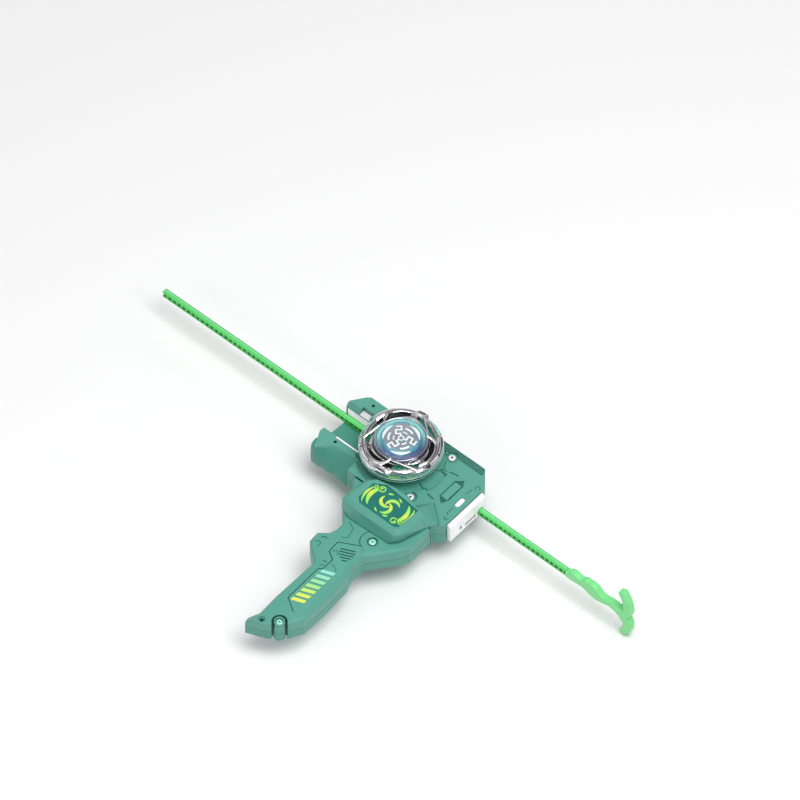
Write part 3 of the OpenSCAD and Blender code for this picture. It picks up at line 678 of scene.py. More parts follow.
class Finish:
    """The start of a material: a Principled shader on Object coordinates."""

    def __init__(self, name: str) -> None:
        """Makes the material with its shader and output."""
        self.material = bpy.data.materials.new(name)
        self.material.use_nodes = True
        self.bench = NodeBench(self.material.node_tree)
        self.bench.tree.nodes.clear()
        self.skin = self.bench.add("ShaderNodeBsdfPrincipled")
        self.bench.add("ShaderNodeOutputMaterial", Surface=self.skin.outputs[0])
        self.place = self.bench.add("ShaderNodeTexCoord").outputs["Object"]

    def group(self, maker: str, **values: Feed) -> bpy.types.Node:
        """Adds one of the shared node groups, fed by the piece's own coordinates."""
        settings = {"node_tree": GROUPS[maker]}
        return self.bench.add("ShaderNodeGroup", settings, Vector=self.place, **values)

    def dress(self, **values: Feed) -> None:
        """Feeds the shader's inputs, by socket name with _ for a space."""
        self.bench.feed_all(self.skin, **values)

    def way_along_y(self, start: float, end: float) -> bpy.types.NodeSocket:
        """The way along Y from start to end, both in millimetres, as 0 to 1."""
        split = self.bench.add("ShaderNodeSeparateXYZ", Vector=self.place)
        return self.bench.span(split.outputs[1], start * MM, end * MM)

    def relief(self, height: bpy.types.NodeSocket, depth: float, edge: float) -> None:
        """Bumps the surface by a height and rounds its edges.

        Args:
            height: The height's socket.
            depth: The bump's depth in metres.
            edge: Radius that sharp edges are shaded with, in metres, or 0.
        """
        bump = self.bench.add("ShaderNodeBump", Height=height, Distance=depth, Strength=0.6)
        if edge > 0:
            rounded = self.bench.add("ShaderNodeBevel", {"samples": 4}, Radius=edge)
            self.bench.feed(bump, "Normal", rounded.outputs[0])
        self.dress(Normal=bump.outputs[0])


@dataclass(frozen=True)
class Plastic:
    """A moulded plastic: colour, a shade colour for its patches and its painted shade, and its
    gloss.

    Painted glow is a glow painted on a pale plastic, which lightens it in the shade. A hollow
    narrower than the painted shade reach takes on painted shade in the shade colour, by how closed
    it is.
    """

    name: str
    color: Color
    shade: Color
    roughness: float = 0.42
    gloss_spread: float = 0.16
    patch_scale: float = 28.0
    patch_amount: float = 0.25
    grain_scale: float = 2600.0
    grain_depth: float = 0.00003
    edge: float = 0.0004
    painted_shade_reach: float = 0.0022
    coat: float = 0.0
    painted_glow: float = 0.0
    coat_roughness: float = 0.08
    painted_shade_range: tuple = (0.25, 0.85)

    def tint(self, finish: Finish) -> Feed:
        """Colour of the bare plastic: one colour, or a socket that a subclass makes."""
        return self.color

    def material(self) -> bpy.types.Material:
        """Builds the material.

        Returns:
            The material.
        """
        finish = Finish(self.name)
        bench = finish.bench
        skin = finish.group(
            "skin_group", Color=self.tint(finish), Shade=self.shade,
            Patch_Scale=self.patch_scale, Patch_Amount=self.patch_amount,
            Grain_Scale=self.grain_scale, Roughness=self.roughness,
            Gloss_Spread=self.gloss_spread,
        )
        color = skin.outputs["Color"]
        # Painted shade: within the reach, hollows found by ambient occlusion take on the shade
        # colour.
        if self.painted_shade_reach > 0:
            near = bench.add("ShaderNodeAmbientOcclusion", {"samples": 8}, Distance=self.painted_shade_reach)
            open_share = bench.span(near.outputs["AO"], *self.painted_shade_range)
            color = bench.blend(open_share, self.shade, color)
        # Emission in the plastic's own colour is a painted glow.
        finish.dress(
            Base_Color=color, Roughness=skin.outputs["Roughness"], Coat_Weight=self.coat,
            Coat_Roughness=self.coat_roughness, Emission_Color=self.color,
            Emission_Strength=self.painted_glow,
        )
        finish.relief(skin.outputs["Height"], self.grain_depth, self.edge)
        return finish.material


@dataclass(frozen=True)
class BandedPlastic(Plastic):
    """A moulded plastic whose colour changes across Y, with painted shade where it is thin over
    hollows.

    Start and end are places on Y in millimetres. The shares of the way between them are where the
    painted thin shade ends, the full colour starts and ends, the painted shadow line starts and
    ends, and the full colour starts again.
    """

    start: float = 5.05
    end: float = 8.2
    shares: tuple = (0.5, 0.66, 0.83, 0.86, 0.975, 0.99)
    painted_thin_shade: Color = (0.115, 0.6, 0.16)
    # The line colour is a painted shadow near the far edge.
    line: Color = (0.03, 0.22, 0.06)

    def tint(self, finish: Finish) -> Feed:
        """Painted thin shade on the toothed half, then the full colour with a painted shadow line
        near its edge.
        """
        places = (0.0, *self.shares, 1.0)
        colors = (self.painted_thin_shade, self.color, self.line, self.color)
        stops = [(place, colors[k // 2]) for k, place in enumerate(places)]
        return finish.bench.ramp(finish.way_along_y(self.start, self.end), tuple(stops))


@dataclass(frozen=True)
class Metal:
    """A bare or plated metal with fine handling marks, which are duller than the polish."""

    name: str
    color: Color
    dull: Color
    roughness: float = 0.12
    marks: float = 0.12
    edge: float = 0.00025

    def material(self) -> bpy.types.Material:
        """Builds the material.

        Returns:
            The material.
        """
        finish = Finish(self.name)
        marks = finish.group("scratch_group", Roughness=self.roughness, Amount=self.marks)
        color = finish.bench.blend(marks.outputs["Mask"], self.color, self.dull)
        finish.dress(Base_Color=color, Roughness=marks.outputs["Roughness"], Metallic=1.0)
        finish.relief(marks.outputs["Height"], MARK_DEPTH, self.edge)
        return finish.material


@dataclass(frozen=True)
class ClearPlastic:
    """A tinted clear plastic: part of the light passes, the rest scatters in the tint."""

    name: str
    color: Color
    passes: float
    roughness: float = 0.06
    marks: float = 0.1
    bends: float = 1.35

    def material(self) -> bpy.types.Material:
        """Builds the material.

        Returns:
            The material.
        """
        finish = Finish(self.name)
        marks = finish.group("scratch_group", Roughness=self.roughness, Amount=self.marks)
        finish.dress(
            Base_Color=self.color, Roughness=marks.outputs["Roughness"],
            Transmission_Weight=self.passes, IOR=self.bends,
        )
        finish.relief(marks.outputs["Height"], MARK_DEPTH, 0.0)
        return finish.material


@dataclass(frozen=True)
class Sheen:
    """A metallic print whose colour changes with the distance from the launch axis.

    It has one run of colours on one side of the disc and another on the other side, a painted sheen
    lighter on one side and darker on the other, is clouded by broad swirls and lies under a clear
    coat.
    """

    name: str
    radius: float
    stops: tuple
    other_stops: tuple
    cloud: Color
    cloud_amount: float = 0.5
    stir: float = 0.35
    swirl_scale: float = 110.0
    roughness: float = 0.24
    metallic: float = 0.35
    side_range: tuple = (0.3, 1.3)
    cloud_range: tuple = (0.5, 0.68)
    marks: float = 0.08
    coat_roughness: float = 0.05

    def material(self) -> bpy.types.Material:
        """Builds the material.

        Returns:
            The material.
        """
        finish = Finish(self.name)
        bench = finish.bench
        place = finish.group(
            "disc_group", Radius=self.radius * MM, Stir=self.stir, Swirl_Scale=self.swirl_scale
        )
        rings = bench.blend(
            bench.span(place.outputs["Side"], *self.side_range),
            bench.ramp(place.outputs["Share"], self.stops),
            bench.ramp(place.outputs["Share"], self.other_stops),
        )
        mask = bench.span(place.outputs["Swirl"], *self.cloud_range, self.cloud_amount)
        marks = finish.group("scratch_group", Roughness=self.roughness, Amount=self.marks)
        finish.dress(
            Base_Color=bench.blend(mask, rings, self.cloud),
            Roughness=marks.outputs["Roughness"], Metallic=self.metallic, Coat_Weight=1.0,
            Coat_Roughness=self.coat_roughness,
        )
        finish.relief(marks.outputs["Height"], MARK_DEPTH, 0.0)
        return finish.material


@dataclass(frozen=True)
class PaintFade:
    """A print that fades through colours along Y, from one place to another in millimetres."""

    name: str
    start: float
    end: float
    stops: tuple
    roughness: float = 0.35
    shade: Color = (0.25, 0.5, 0.12)
    patch_scale: float = 220.0
    patch_amount: float = 0.25
    grain_depth: float = 0.00002
    edge: float = 0.0002

    def material(self) -> bpy.types.Material:
        """Builds the material.

        Returns:
            The material.
        """
        finish = Finish(self.name)
        skin = finish.group(
            "skin_group", Shade=self.shade, Patch_Scale=self.patch_scale,
            Patch_Amount=self.patch_amount, Roughness=self.roughness,
            Color=finish.bench.ramp(finish.way_along_y(self.start, self.end), self.stops),
        )
        finish.dress(Base_Color=skin.outputs["Color"], Roughness=skin.outputs["Roughness"])
        finish.relief(skin.outputs["Height"], self.grain_depth, self.edge)
        return finish.material


TEAL = (0.1, 0.355, 0.28)
# TEAL_DEEP darkens teal patches, and is the painted shade in teal hollows.
TEAL_DEEP = (0.005, 0.115, 0.08)
# Plastics whose painted shade reach is above 0 get painted shade in their hollows.
FINISHES = {
    finish.name: finish.material()
    for finish in (
        Plastic("teal_upper", TEAL, TEAL_DEEP, edge=0.0008),
        # teal_lower is the teal plastic made darker: painted shade on the lower parts' sides.
        Plastic("teal_lower", (0.085, 0.33, 0.255), TEAL_DEEP, roughness=0.46, edge=0.0008),
        # teal_cheek_shaded is a darker teal: painted shade on the finger block's side.
        Plastic("teal_cheek_shaded", (0.053, 0.262, 0.2), TEAL_DEEP, roughness=0.46, edge=0.0008),
        Plastic("teal_inlay", (0.105, 0.37, 0.292), TEAL_DEEP, roughness=0.38),
        # groove_shade: the dark colour of grooves, seams and recesses is painted shade.
        Plastic("groove_shade", (0.012, 0.15, 0.105), (0.004, 0.07, 0.05), painted_shade_reach=0.0, edge=0.0),
        # white_plastic: its painted glow lightens it in the shade.
        Plastic("white_plastic", (0.96, 0.87, 0.95), (0.85, 0.8, 0.85), roughness=0.3,
                patch_amount=0.12, painted_shade_reach=0.0, painted_glow=0.2),
        Plastic("guide_white", (0.72, 0.7, 0.73), (0.6, 0.58, 0.6), roughness=0.35,
                patch_amount=0.2, painted_shade_reach=0.0),
        # rack_green: painted thin shade, a painted shadow line, and a green painted shade in the
        # tooth gaps.
        BandedPlastic("rack_green", (0.19, 0.79, 0.28), (0.04, 0.56, 0.06), roughness=0.34,
                      patch_amount=0.03, painted_shade_reach=0.0045),
        Plastic("end_white", (0.94, 0.94, 0.95), (0.4, 0.38, 0.42), roughness=0.28,
                patch_amount=0.05, painted_shade_reach=0.0035),
        # slot_shade: grey on the slot floors is painted shade.
        Plastic("slot_shade", (0.42, 0.4, 0.45), (0.3, 0.28, 0.33), painted_shade_reach=0.0, edge=0.0),
        Plastic("nylon", (0.72, 0.72, 0.68), (0.35, 0.35, 0.32), roughness=0.5),
        Plastic("white_screw", (0.9, 0.9, 0.93), (0.35, 0.35, 0.4), roughness=0.22, coat=0.5),
        Plastic("mint_screw", (0.42, 0.86, 0.66), (0.1, 0.35, 0.26), roughness=0.25, coat=0.5),
        Plastic("badge_dark", (0.002, 0.13, 0.105), (0.01, 0.22, 0.19), patch_scale=150.0,
                patch_amount=0.6, roughness=0.4, coat=0.15),
        Plastic("ripcord_green", (0.19, 0.71, 0.25), (0.015, 0.25, 0.025), roughness=0.34,
                patch_amount=0.03, painted_shade_reach=0.0022),
        Plastic("prong_plastic", (0.02, 0.035, 0.035), (0.005, 0.01, 0.01), roughness=0.5),
        Plastic("core_yellow", (0.6, 0.78, 0.04), (0.2, 0.32, 0.01), roughness=0.3),
        Plastic("insert_yellow", (1.0, 0.62, 0.03), (0.6, 0.4, 0.02), roughness=0.3, painted_shade_reach=0.0),
        Plastic("tip_teal", (0.03, 0.36, 0.27), (0.005, 0.12, 0.09), roughness=0.3),
        # socket_shade: dark domes in the screw heads are painted shade.
        Plastic("socket_shade", (0.05, 0.045, 0.06), (0.01, 0.01, 0.01), painted_shade_reach=0.0, edge=0.0),
        Plastic("emblem_white", (0.86, 0.93, 0.94), (0.5, 0.75, 0.78), roughness=0.25,
                painted_shade_reach=0.0, patch_scale=140.0, patch_amount=0.3),
        Metal("steel", (0.6, 0.61, 0.63), (0.35, 0.35, 0.36), roughness=0.3),
        Metal("blade_metal", (0.76, 0.75, 0.76), (0.45, 0.44, 0.45), roughness=0.12),
        # recess_shade: the black floor in the blade recess is painted shade.
        Metal("recess_shade", (0.03, 0.03, 0.034), (0.015, 0.015, 0.015), roughness=0.35),
        ClearPlastic("clear_teal", (0.3, 0.9, 0.78), passes=0.86),
        # edge_glint: pale and nearly opaque, a painted highlight on the clear ring's edges.
        ClearPlastic("edge_glint", (0.75, 1.0, 0.97), passes=0.15),
        # chip_grey and bezel_cyan: the lighter and darker runs on the two sides are a painted
        # sheen.
        Sheen("chip_grey", 14.1, (
            (0.0, (0.36, 0.35, 0.4)), (0.7, (0.33, 0.34, 0.4)), (0.81, (0.08, 0.36, 0.42)),
            (0.91, (0.34, 0.8, 0.77)), (1.0, (0.3, 0.5, 0.55)),
        ), (
            (0.0, (0.36, 0.35, 0.4)), (0.58, (0.3, 0.3, 0.37)), (0.7, (0.12, 0.42, 0.52)),
            (0.83, (0.03, 0.1, 0.25)), (1.0, (0.14, 0.13, 0.24)),
        ), (0.2, 0.62, 0.66), cloud_amount=0.45),
        Sheen("bezel_cyan", 15.6, (
            (0.9, (0.3, 0.48, 0.55)), (0.95, (0.5, 0.68, 0.74)), (1.0, (0.3, 0.31, 0.4)),
        ), (
            (0.9, (0.1, 0.13, 0.2)), (0.95, (0.33, 0.33, 0.42)), (1.0, (0.14, 0.14, 0.2)),
        ), (0.3, 0.65, 0.7), stir=0.1, metallic=0.7, roughness=0.15),
        PaintFade("stripe_print", -117.0, -88.0, (
            (0.0, (0.83, 0.82, 0.13)), (0.35, (0.62, 0.82, 0.12)), (0.6, (0.34, 0.75, 0.3)),
            (1.0, (0.27, 0.74, 0.7)),
        )),
        PaintFade("lime_print", -46.0, -26.0, (
            (0.0, (0.29, 0.78, 0.12)), (0.36, (0.38, 0.8, 0.1)), (0.5, (0.78, 0.8, 0.08)),
            (0.64, (0.38, 0.8, 0.1)), (1.0, (0.29, 0.78, 0.12)),
        )),
    )
}

NODE_FINISH = {
    "lower_housing": "teal_lower", "upper_housing": "teal_upper", "rack_liner": "white_plastic",
    "end_cap": "end_white", "spindle_bush": "nylon", "thrust_washer": "steel",
    "housing_screws": "white_screw", "label_plate": "teal_inlay", "grip_lower": "teal_lower",
    "grip_upper": "teal_upper", "grip_inlay": "teal_inlay", "grip_stripes": "stripe_print",
    "grip_screws": "mint_screw", "hub_cover": "teal_upper", "hub_screws": "steel",
    "badge_plate": "badge_dark", "badge_relief": "lime_print", "spindle_shaft": "steel",
    "drive_pinion": "nylon", "prong_head": "prong_plastic", "shaft_clip": "steel",
    "rack_strip": "rack_green", "pull_handle": "ripcord_green", "tip_point": "tip_teal",
    "tip_base": "tip_teal", "track_core": "core_yellow", "clear_ring": "clear_teal",
    "blade_ring": "blade_metal", "chip_bezel": "bezel_cyan", "face_chip": "chip_grey",
    "chip_emblem": "emblem_white",
}


# Sub-assemblies


class Ground:
    """Heights of the launcher's upper faces, read from its CAD nodes."""

    def __init__(self, names: tuple) -> None:
        """Keeps a search tree of each named node."""
        self.trees = []
        for name in names:
            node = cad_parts[name]
            points = [node.matrix_world @ corner.co for corner in node.data.vertices]
            faces = [tuple(face.vertices) for face in node.data.polygons]
            self.trees.append(BVHTree.FromPolygons(points, faces))

    def heights(self, spots: np.ndarray) -> np.ndarray:
        """Finds the highest face under each spot.

        Args:
            spots: Places of shape (n, 2), in millimetres.

        Returns:
            One height for each, in millimetres.
        """
        found = []
        for x, y in spots * MM:
            start = Vector((x, y, ABOVE_ALL))
            hits = [tree.ray_cast(start, Vector((0, 0, -1)))[0] for tree in self.trees]
            found.append(max(hit.z for hit in hits if hit is not None) / MM)
        return np.array(found)


@dataclass
class LauncherTrim:
    """Fine detail on the launcher block, the hub and the grip.

    A line is its width and its points. A crescent is its centre from the figure's middle, its
    radius, its start and sweep in degrees and its width. The swirl's crescents stand at a distance
    and an angle from the middle. A box is its limits in x, y and z, a level an inset and a height.
    """

    line_sink: float = 0.2
    line_proud: float = 0.03
    line_step: float = 0.45
    lines: tuple = (
        (0.5, ((20.7, 6.2), (22.7, 6.9), (22.6, 8.3), (24.6, 7.9), (24.4, 9.1), (26.8, 8.5))),
        (1.0, ((27.9, 9.4), (31.0, 10.2), (33.6, 10.6))),
        (0.6, ((18.9, -6.3), (22.9, -8.2), (24.3, -9.4), (25.1, -8.1), (27.3, -8.7))),
        (1.0, ((28.4, -10.0), (31.0, -10.6), (33.4, -10.7))),
        (0.4, ((34.4, -6.9), (34.4, 6.9), (40.2, 6.9), (40.2, -6.9), (34.4, -6.9), (34.4, -6.0))),
        (0.45, ((44.4, 3.2), (45.2, 5.4), (45.8, 8.4))),
        (0.5, ((46.9, 9.4), (46.0, 10.6), (46.2, 12.0), (47.4, 12.6), (48.5, 12.0), (48.8, 10.6))),
        (0.45, ((45.4, -7.6), (45.3, -13.2), (46.7, -13.7))),
        (0.5, ((46.2, -15.6), (46.7, -17.4), (48.0, -17.2), (48.5, -15.8))),
        (0.5, ((7.6, -53.6), (12.6, -55.9), (13.6, -60.4), (14.4, -62.6), (11.2, -64.8))),
        (0.8, ((2.8, -72.1), (3.2, -70.9), (4.2, -70.4), (5.8, -70.6))),
        (0.55, ((1.5, -76.2), (3.3, -74.7), (5.0, -75.2), (5.2, -78.8))),
        (0.7, ((13.8, -83.8), (15.0, -83.3), (16.4, -83.3))),
        (0.7, ((14.5, -87.1), (16.4, -85.9))),
        (0.5, ((14.0, -75.6), (14.2, -74.1), (15.5, -73.5), (16.9, -74.3), (17.2, -75.6))),
        (0.4, ((19.2, -82.0), (23.6, -83.8), (24.6, -85.2))),
        (0.55, ((24.3, -61.95), (11.75, -68.6), (12.25, -76.45), (17.55, -79.9),
                (17.55, -88.4), (15.45, -89.4), (15.65, -116.0), (24.1, -121.75))),
    )
    wing_z: float = 15.0
    wings: tuple = ((34.9, 6.75), (39.6, 7.2), (38.2, 9.9), (35.7, 7.9))
    wing_sink: float = 0.1
    seam: tuple = (
        (24.2, -121.7), (28.88, -118.5), (29.6, -85.45), (26.95, -76.85), (26.95, -64.0),
        (24.3, -61.8),
    )
    seam_w: float = 0.66
    seam_levels: tuple = ((0.0, 14.9), (0.0, 15.49), (0.06, 15.53))
    panel_z: float = 25.5
    figure_at: tuple = (21.4, -36.2)
    figure_t: float = 0.28
    figure_bevel: tuple = (0.06, 0.1)
    figure_rings: tuple = (
        ((-9.4, 6.3), 2.1), ((-13.2, 5.4), 1.3), ((9.4, -6.2), 2.1), ((13.3, -5.2), 1.3)
    )
    ring_w: float = 0.7
    crescents: tuple = (
        ((-3.0, 0.0), 9.6, 132, 96, 2.6), ((3.0, 0.0), 9.6, -48, 96, 2.6),
        ((-2.4, -0.6), 12.9, 152, 62, 1.5), ((2.4, 0.6), 12.9, -32, 62, 1.5),
    )
    swirl_at: tuple = (2.6, 15.0)
    swirl: tuple = (3.9, 30.0, 175, 2.1)
    short_starts: tuple = (50, 104, 230, 284)
    short_arc: tuple = (7.7, 26, 1.1)
    socket_r: float = 0.75
    socket_rise: float = 0.12
    socket_sink: float = 0.1
    screw_heads: tuple = ((22.34, 18.0, 15.2), (22.34, -18.0, 15.2))
    notch_box: tuple = ((-38.3, -30.5), (8.55, 12.35), (12.0, 12.2))
    notch_bevel: float = 0.05
    slot_boxes: tuple = (
        ((51.5, 52.5), (-11.0, -9.15), (3.6, 6.5)), ((51.5, 52.5), (-6.25, 2.65), (2.42, 5.0)),
    )

    def build(self) -> None:
        """Makes all the pieces of the trim."""
        for make in (self.groove_shade, self.inlay_edge, self.figure, self.sockets, self.slots,
                     self.notch):
            make()

    def groove_shade(self) -> None:
        """Painted shade: dark bands laid point by point over fine grooves cut in the top faces."""
        ground = Ground(("upper_housing", "grip_upper", "grip_inlay", "label_plate"))
        surfaces = []
        for width, line in self.lines:
            path = np.array(line)
            length = np.linalg.norm(np.diff(path, axis=0), axis=1)
            place = np.concatenate([[0], np.cumsum(length)])
            fine = np.linspace(0, place[-1], int(place[-1] / self.line_step) + 2)
            dense = np.column_stack([np.interp(fine, place, path[:, k]) for k in (0, 1)])
            level = ground.heights(dense)
            level = np.concatenate([level, level[::-1]])
            surfaces.append(prism(bent_band(dense, width), [
                (0.0, level - self.line_sink), (0.0, level + self.line_proud)
            ]))
        # Dark plates in the label's two wing recesses are painted shade too.
        levels = [(0.0, self.wing_z - self.wing_sink), (0.0, self.wing_z + self.line_proud)]
        for side in (-1, 1):
            wing = np.array(self.wings) * (1, side)
            surfaces.append(prism(wing[::side], levels))
        make_piece("engraved_lines", surfaces, "groove_shade", Body.LAUNCHER)

    def inlay_edge(self) -> None:
        """Closed side of the inlay, where its edge runs level with the grip."""
        edge = prism(bent_band(np.array(self.seam), self.seam_w), list(self.seam_levels))
        make_piece("inlay_edge", [edge], "teal_inlay", Body.LAUNCHER)

    def figure(self) -> None:
        """A plain figure of nested crescents, rings and a swirl on the hub's panel."""
        x, y = self.figure_at
        low, high = self.panel_z - self.line_sink, self.panel_z + self.figure_t
        inward, down = self.figure_bevel
        levels = [(0.0, low), (0.0, high - down), (inward, high)]
        radius, sweep, width = self.short_arc
        shapes = [
            *(crescent((x + spot[0], y + spot[1]), *rest) for spot, *rest in self.crescents),
            *self.swirl_shapes(),
            *(crescent((x, y), radius, start, sweep, width) for start in self.short_starts),
        ]
        surfaces = [prism(shape, levels) for shape in shapes]
        surfaces += [
            flat_ring((x + spot[0], y + spot[1]), outer, self.ring_w, (low, high), steps=40)
            for spot, outer in self.figure_rings
        ]
        make_piece(
            "badge_figure", surfaces, "lime_print", Body.LAUNCHER,
            replaces=("badge_relief",),
        )

    def swirl_shapes(self) -> list:
        """Outlines of three crescents that turn about the figure's middle.

        Returns:
            The outlines, a third of a turn apart.
        """
        (x, y), (away, first), (radius, start, sweep, width) = (
            self.figure_at, self.swirl_at, self.swirl
        )
        shapes = []
        for third in THIRDS:
            turn = math.radians(third + first)
            centre = (x + away * math.cos(turn), y + away * math.sin(turn))
            shapes.append(crescent(centre, radius, third + start, sweep, width))
        return shapes

    def sockets(self) -> None:
        """Dark domes on the white screw heads where their driver sockets are: painted shade.

        A socket is a low dome: at share t of its radius it stands at rise (1 - t^2).
        """
        surfaces = []
        for x, y, z in self.screw_heads:
            way = np.linspace(0, 1, 6)[::-1]
            dome = np.column_stack([self.socket_r * way, z + self.socket_rise * (1 - way**2)])
            low = z - self.socket_sink
            loop = np.concatenate([[(0.0, low), (self.socket_r, low)], dome])
            surfaces.append(lathe(loop, steps=24, closed=False, centre=(x, y)))
        make_piece("screw_sockets", surfaces, "socket_shade", Body.LAUNCHER)

    def slots(self) -> None:
        """Grey floors of the two slots in the end block's front face: painted shade."""
        surfaces = [
            prism(oblong(x, y), [(0.0, z0), (0.0, z1)]) for x, y, (z0, z1) in self.slot_boxes
        ]
        make_piece("end_slots", surfaces, "slot_shade", Body.LAUNCHER)

    def notch(self) -> None:
        """White strip on the floor of the notch beside the guide wall."""
        x, y, (z0, z1) = self.notch_box
        bevel = self.notch_bevel
        strip = prism(oblong(x, y), [(0.0, z0), (0.0, z1 - bevel), (bevel, z1)])
        make_piece("notch_strip", [strip], "guide_white", Body.LAUNCHER)


@dataclass
class FingerCheek:
    """The smooth wavy side of the finger block, a thick skin over the housing's flat facets, in a
    darker teal that is painted shade.

    Foot, waist and head are its outer line at the underside, half way up and at the top.
    A level is a share of the height and how far the line is drawn in there.
    """

    foot: tuple = (
        (-45.3, -21.2), (-45.1, -24.4), (-43.9, -26.95), (-41.5, -27.25), (-38.4, -27.25),
        (-35.0, -26.6), (-31.5, -26.85), (-28.3, -26.0), (-25.0, -26.35), (-22.0, -26.8),
        (-19.0, -27.2), (-16.5, -26.95), (-15.0, -26.3),
    )
    waist: tuple = (
        (-45.3, -21.2), (-45.15, -24.4), (-44.0, -27.0), (-42.0, -27.7), (-39.7, -27.6),
        (-36.6, -26.8), (-33.3, -25.4), (-29.6, -23.9), (-26.0, -22.95), (-22.75, -22.8),
        (-19.5, -22.75), (-17.0, -22.4), (-15.25, -21.9),
    )
    head: tuple = (
        (-45.3, -21.2), (-44.95, -24.4), (-43.9, -26.7), (-42.4, -27.45), (-40.4, -26.95),
        (-37.9, -24.2), (-35.2, -20.6), (-31.0, -19.3), (-27.0, -18.6), (-23.5, -18.15),
        (-20.0, -17.75), (-17.5, -17.3), (-15.5, -17.0),
    )
    height: float = 15.0
    core: tuple = (-30.0, -8.0)
    skin_share: float = 0.12
    levels: tuple = (
        (0.0014, 0.12), (0.02, 0.0), (0.1, 0.0), (0.2, 0.0), (0.3, 0.0), (0.4, 0.0), (0.5, 0.0),
        (0.6, 0.0), (0.7, 0.0), (0.8, 0.0), (0.88, 0.0), (0.94, 0.04), (0.975, 0.16), (0.9986, 0.4),
    )
    steps: int = 110

    def build(self) -> None:
        """Makes the skin.

        At share t of the height the line is the parabola through foot, waist and head, drawn in
        by the level's second number. The inner side is the line moved towards the block's core.
        """
        foot, waist, head = (
            smooth(knots, self.steps) for knots in (self.foot, self.waist, self.head)
        )
        rings = []
        for t, draw in self.levels:
            line = foot * (2 * t - 1) * (t - 1) + waist * 4 * t * (1 - t) + head * t * (2 * t - 1)
            line = line + draw * left_normals(line)
            inner = line + (np.array(self.core) - line) * self.skin_share
            loop = np.concatenate([line, inner[::-1]])
            rings.append(np.column_stack([loop, np.full(len(loop), self.height * t)]))
        skin = grid_surface(np.stack(rings), False, True)
        count = len(rings[0])
        for start in (0, (len(rings) - 1) * count):
            skin.faces.extend(
                [start + i, start + i + 1, start + count - 2 - i, start + count - 1 - i]
                for i in range(count // 2 - 1)
            )
        make_piece("finger_cheek", [skin], "teal_cheek_shaded", Body.LAUNCHER)


@dataclass
class Underside:
    """Moulded marks in the flat underside: panel lines, ribs and rings at the screw posts.

    A line is its width and its points, a ring is its centre, radius and width, and a row of ribs
    is its first rib's two ends, the step to the next, the count and the width.
    """

    sink: float = 0.2
    proud: float = 0.03
    lines: tuple = (
        (0.7, ((-41.0, -8.0), (-36.0, -13.0), (38.0, -13.0), (44.0, -8.0), (44.0, 7.0),
               (38.0, 12.5), (-36.0, 12.5), (-41.0, 7.5), (-41.0, -8.0), (-40.0, -9.0))),
        (0.5, ((17.0, -6.0), (36.0, -6.0), (38.0, -4.0), (38.0, 4.0), (36.0, 6.0),
               (17.0, 6.0), (15.0, 4.0), (15.0, -4.0), (17.0, -6.0), (18.0, -6.0))),
        (0.7, ((-1.0, -31.0), (39.5, -31.0), (33.0, -46.0), (24.0, -54.0), (10.5, -54.0),
               (4.0, -46.0), (-1.0, -31.0), (0.0, -31.0))),
        (0.6, ((15.5, -87.0), (26.5, -87.0), (27.5, -116.0), (25.0, -122.0), (17.0, -127.0),
               (15.0, -118.0), (15.5, -87.0), (16.5, -87.0))),
    )
    rings: tuple = (
        ((0.0, 0.0), 10.3, 0.7), ((0.0, 0.0), 4.2, 0.5), ((22.34, 18.0), 3.0, 0.5),
        ((22.34, -18.0), 3.0, 0.5), ((11.71, -35.65), 3.4, 0.5), ((31.09, -35.65), 3.4, 0.5),
        ((26.61, -60.2), 2.8, 0.5),
    )
    ribs: tuple = (
        ((-37.0, -6.5), (-33.5, 6.5), (3.5, 0.0), 6, 1.1),
        ((17.6, -91.0), (24.6, -93.0), (0.0, -4.2), 6, 1.3),
        ((8.0, -62.0), (18.0, -66.0), (0.8, -4.2), 3, 1.1),
    )

    def build(self) -> None:
        """Lays all the marks over the underside as thin dark bands, whose dark colour is painted
        shade.
        """
        bands = [(width, np.array(line)) for width, line in self.lines]
        for first, last, step, count, width in self.ribs:
            bands += [(width, np.array([first, last]) + k * np.array(step)) for k in range(count)]
        levels = [(0.0, -self.proud), (0.0, self.sink)]
        surfaces = [prism(bent_band(path, width), levels) for width, path in bands]
        z = (-self.proud, self.sink)
        surfaces += [flat_ring(*ring, z, steps=48) for ring in self.rings]
        make_piece("underside_marks", surfaces, "groove_shade", Body.LAUNCHER)


